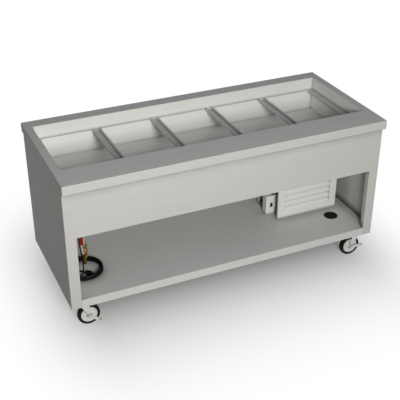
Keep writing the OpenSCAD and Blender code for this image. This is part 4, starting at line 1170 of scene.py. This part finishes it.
@dataclass
class Studio:
    """Pale floor with a painted shadow round the counter, one soft key lamp and a plain room that is darker
    at the counter's left.

    The floor's paper is darker to the light that bounces off it than to the eye, so that the
    counter's low sides aren't lit from below. The spans are where the room's level changes, along
    the sky's Y and X.
    """

    floor_half: float = 40.0
    # Outline, shift, spread and far distance shape the painted shadow on the floor round the counter
    outline: tuple[float, float, float] = (0.76, 0.15, 0.0)
    painted_shadow_shift: tuple[float, float, float] = (0.03, 0.03, 0.0)
    spread: tuple[float, float, float] = (1.9, 1.0, 1.0)
    far: float = 1.2
    key_place: tuple[float, float, float] = (-0.8, -4.2, 2.35)
    key_aim: tuple[float, float, float] = (0.0, 0.0, 0.6)
    key_size: tuple[float, float] = (1.0, 1.2)
    key_watts: float = 172.0
    key_tint: tuple[float, float, float] = (1.0, 0.985, 0.96)
    room_tint: tuple[float, float, float, float] = (0.9, 1.0, 1.05, 1.0)
    room_front: float = 0.2
    room_back: float = 0.35
    front_span: tuple[float, float] = (0.5, -0.8)
    left_span: tuple[float, float] = (-0.9, 0.2)
    paper_lit: str = "565654"
    paper_seen: str = "A9A9A7"

    def build(self) -> None:
        """Make the floor, the lamp and the world, and set the plain view."""
        bpy.context.scene.view_settings.view_transform = "Standard"
        self.floor()
        self.world()
        self.key_lamp()

    def key_lamp(self) -> None:
        """Hang the soft rectangular lamp and turn its face to its aim."""
        data = bpy.data.lights.new("key lamp", "AREA")
        data.shape = "RECTANGLE"
        data.size, data.size_y = self.key_size
        data.energy = self.key_watts
        data.color = self.key_tint
        lamp = bpy.data.objects.new("key lamp", data)
        lamp.location = self.key_place
        away = np.array(self.key_place) - np.array(self.key_aim)
        flat = math.hypot(away[0], away[1])
        lamp.rotation_euler = (math.atan2(flat, away[2]), 0.0, math.atan2(away[0], -away[1]))
        bpy.context.scene.collection.objects.link(lamp)

    def seen(self, tree: bpy.types.NodeTree) -> bpy.types.NodeSocket:
        """Tell the rays that see the floor from those that it only lights.

        Args:
            tree: The floor material's node tree.

        Returns:
            A socket that is 1 for camera, glossy and transmission rays and 0 for the rest.
        """
        path = add_node(tree, "ShaderNodeLightPath").outputs
        value = path["Is Camera Ray"]
        for other in ("Is Glossy Ray", "Is Transmission Ray"):
            larger = add_node(tree, "ShaderNodeMath", {"operation": "MAXIMUM"}, {0: value, 1: path[other]})
            value = larger.outputs[0]
        return value

    def white_past_painted_shadow(self, tree: bpy.types.NodeTree) -> bpy.types.NodeSocket:
        """Add the share of plain white in the floor; where it is low, round the counter, the darker paper is
        a painted shadow.

        The share is 1 minus the square of the nearness, and the nearness falls evenly from 1 at a
        rectangle under the counter to 0 at the far distance, faster along X than along Y.

        Args:
            tree: The floor material's node tree.

        Returns:
            A socket with the share.
        """
        place = add_node(tree, "ShaderNodeTexCoord").outputs["Object"]
        for operation, by in (("SUBTRACT", self.painted_shadow_shift), ("ABSOLUTE", (0, 0, 0)),
                              ("SUBTRACT", self.outline), ("MAXIMUM", (0, 0, 0)), ("MULTIPLY", self.spread)):
            moved = add_node(tree, "ShaderNodeVectorMath", {"operation": operation}, {0: place, 1: by})
            place = moved.outputs[0]
        away = add_node(tree, "ShaderNodeVectorMath", {"operation": "LENGTH"}, {0: place})
        near = add_node(tree, "ShaderNodeMapRange", inputs={
            "Value": away.outputs["Value"], "From Min": 0.0, "From Max": self.far, "To Min": 1.0,
            "To Max": 0.0})
        bend = add_node(tree, "ShaderNodeMath", {"operation": "POWER"}, {0: near.outputs["Result"], 1: 2.0})
        return add_node(tree, "ShaderNodeMath", {"operation": "MULTIPLY_ADD"}, {
            0: bend.outputs[0], 1: -1.0, 2: 1.0}).outputs[0]

    def floor(self) -> None:
        """Lay a pale floor that turns to plain white away from the counter, with a painted shadow near it,
        and keeps its cast shadow.
        """
        half = self.floor_half
        corners = [(-half, -half, 0), (half, -half, 0), (half, half, 0), (-half, half, 0)]
        mesh = bpy.data.meshes.new("studio floor")
        mesh.from_pydata(corners, [], [(0, 1, 2, 3)])
        floor = bpy.data.objects.new("studio_floor", mesh)
        bpy.context.scene.collection.objects.link(floor)
        material = bpy.data.materials.new("pale studio paper")
        material.use_nodes = True
        tree = material.node_tree
        tree.nodes.remove(tree.nodes["Principled BSDF"])
        seen = self.seen(tree)
        white = self.white_past_painted_shadow(tree)
        share = add_node(tree, "ShaderNodeMath", {"operation": "MULTIPLY"}, {0: white, 1: seen})
        tint = add_node(tree, "ShaderNodeMix", {"data_type": "RGBA"}, {0: seen})
        tint.inputs[6].default_value = linear(self.paper_lit)
        tint.inputs[7].default_value = linear(self.paper_seen)
        paper = add_node(tree, "ShaderNodeBsdfDiffuse", inputs={"Color": tint.outputs[2]})
        glow = add_node(tree, "ShaderNodeEmission", inputs={"Color": (1, 1, 1, 1), "Strength": 1.0})
        mixed = add_node(tree, "ShaderNodeMixShader", inputs={
            0: share.outputs[0], 1: paper.outputs[0], 2: glow.outputs[0]})
        tree.links.new(mixed.outputs[0], tree.nodes["Material Output"].inputs["Surface"])
        mesh.materials.append(material)

    def world(self) -> None:
        """Light the room evenly, brighter behind the counter, dark at its left and white to the camera."""
        world = bpy.data.worlds.new("studio room")
        bpy.context.scene.world = world
        world.use_nodes = True
        tree = world.node_tree
        way = add_node(tree, "ShaderNodeTexCoord").outputs["Generated"]
        parts = add_node(tree, "ShaderNodeSeparateXYZ", inputs={0: way})
        spans = (("Y", self.front_span, (self.room_back, self.room_front)), ("X", self.left_span, (0.0, 1.0)))
        front, side = (add_node(tree, "ShaderNodeMapRange", {"interpolation_type": "SMOOTHSTEP"}, {
            "Value": parts.outputs[axis], "From Min": span[0], "From Max": span[1], "To Min": levels[0],
            "To Max": levels[1]}) for axis, span, levels in spans)
        level = add_node(tree, "ShaderNodeMath", {"operation": "MULTIPLY"}, {
            0: front.outputs["Result"], 1: side.outputs["Result"]})
        room = tree.nodes["Background"]
        tree.links.new(level.outputs[0], room.inputs["Strength"])
        room.inputs["Color"].default_value = self.room_tint
        white = add_node(tree, "ShaderNodeBackground", inputs={"Color": (1, 1, 1, 1), "Strength": 1.0})
        path = add_node(tree, "ShaderNodeLightPath")
        both = add_node(tree, "ShaderNodeMixShader", inputs={
            0: path.outputs["Is Camera Ray"], 1: room.outputs[0], 2: white.outputs[0]})
        tree.links.new(both.outputs[0], tree.nodes["World Output"].inputs["Surface"])


# Power cord
@dataclass
class PowerCord:
    """The black cord: it drops from the gland, winds into the coil on the shelf and ends in its plug."""

    diameter: float = 8 * MM
    gland: Gland = field(default_factory=Gland)
    plug: Plug = field(default_factory=Plug)
    centre: tuple[float, float] = (-785, -121)
    inner: float = 92.5
    start_deg: float = -133.0
    step: float = 10.2
    rise: float = 8.8
    base_z: float = 207.3
    layer: float = 0.875
    climb: float = 0.5
    layers: int = 4
    rings: int = 60
    lead: float = 8.0
    stub: float = 4.0
    curve_steps: int = 4
    least_step: float = 0.00001

    def coil(self) -> np.ndarray:
        """Wind the coil.

        The radius grows by a fixed step each turn, then shrinks by it in the next layer, and the
        cord climbs a layer in the half turn between them.

        Returns:
            The coil's centreline, bottom turn first, in millimetres.
        """
        turns = self.layers * self.layer + (self.layers - 1) * self.climb
        t = np.linspace(0.0, turns, int(turns * self.rings) + 1)
        span = self.layer + self.climb
        count = np.floor(t / span + 0.0001)
        along = np.minimum(t - count * span, self.layer)
        up = np.maximum(t - count * span - self.layer, 0.0)
        radius = self.inner + self.step * np.where(count % 2 == 0, along, self.layer - along)
        angle = np.radians(self.start_deg + 360 * t)
        x = self.centre[0] + radius * np.cos(angle)
        y = self.centre[1] + radius * np.sin(angle)
        z = self.base_z + self.rise * (count + up / self.climb)
        return np.stack([x, y, z], 1)

    def smooth(self, points: np.ndarray) -> np.ndarray:
        """Carry a smooth curve through chosen points, straight at both ends.

        Between two points the curve is the cubic that also leans on the point before and after.

        Args:
            points: Chosen points in order.

        Returns:
            The curve's points, ends included.
        """
        a, b, c, d = points[:-3], points[1:-2], points[2:-1], points[3:]
        f = (np.arange(self.curve_steps) / self.curve_steps)[None, :, None]
        a, b, c, d = (q[:, None, :] for q in (a, b, c, d))
        square, cube = 2 * a - 5 * b + 4 * c - d, 3 * b - a - 3 * c + d
        mid = (2 * b + (c - a) * f + square * f ** 2 + cube * f ** 3) / 2
        return np.concatenate([points[:1], mid.reshape(-1, 3), points[-2:]])

    def route(self) -> np.ndarray:
        """Lead the cord from the gland down to the coil, round it and out to the plug.

        Returns:
            The whole centreline, in metres.
        """
        coil = self.coil()
        angle = math.radians(self.start_deg)
        tangent = np.array([-math.sin(angle), math.cos(angle), 0.0])
        top, bottom = coil[-1] + self.lead * tangent, coil[0] - self.lead * tangent
        drop = np.array([top, top + self.stub * tangent, (-828, -202, 238), (-820, -204, 245),
                         (-815, -205, 255), (-812, -205, 271), (-812, -205, 290), (-812, -205, 320),
                         (-814, -205, 355), (-819, -205, 395), (-824, -206, 440), (-828, -206, 490),
                         (-831, -207, 535), (-832, -207, 575), (-832, -207, 595),
                         np.array(self.gland.place) - (0, 0, self.gland.length)], float)
        plug, way = np.array(self.plug.place), self.plug.axes()[0]
        tail = np.array([bottom, bottom - self.stub * tangent, (-864, -168, 207.4), (-866, -152, 207.6),
                         (-859, -137, 208), (-845, -127, 209), (-829, -123.5, 211), (-816, -126.5, 213.5),
                         plug - self.lead * way, plug], float)
        down = self.smooth(drop)[::-1]
        return np.concatenate([down, coil[::-1], self.smooth(tail)]) * MM

    def build(self, bench: Bench) -> None:
        """Args:
            bench: Bench that takes the pieces.
        """
        plug = self.plug.build(bench)
        path = self.route()
        keep = np.concatenate([[True], np.linalg.norm(np.diff(path, axis=0), axis=1) > self.least_step])
        path = path[keep]
        data = bpy.data.curves.new("power cord", "CURVE")
        data.dimensions = "3D"
        data.bevel_depth = self.diameter / 2
        data.bevel_resolution = 5
        data.use_fill_caps = True
        line = data.splines.new("POLY")
        line.points.add(len(path) - 1)
        line.points.foreach_set("co", np.column_stack([path, np.ones(len(path))]).ravel())
        data.materials.append(bench.finishes.get("cord_rubber"))
        cord = bpy.data.objects.new("power_cord", data)
        bpy.context.scene.collection.objects.link(cord)
        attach(cord, "frame")
        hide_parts("cord_drop", "cord_coil", "cord_tail")


def main() -> None:
    """Build the camera, cord, finishes and studio in order."""
    ViewCamera().build()
    finishes = Finishes()
    bench = Bench(finishes)
    PowerCord().build(bench)
    finishes.dress_nodes()
    for assembly in (CounterTop(), Well(), Bars(), SheetWork(), Casters(), Gland(), Fan()):
        assembly.build(bench)
    Studio().build()


if __name__ == "__main__":
    main()
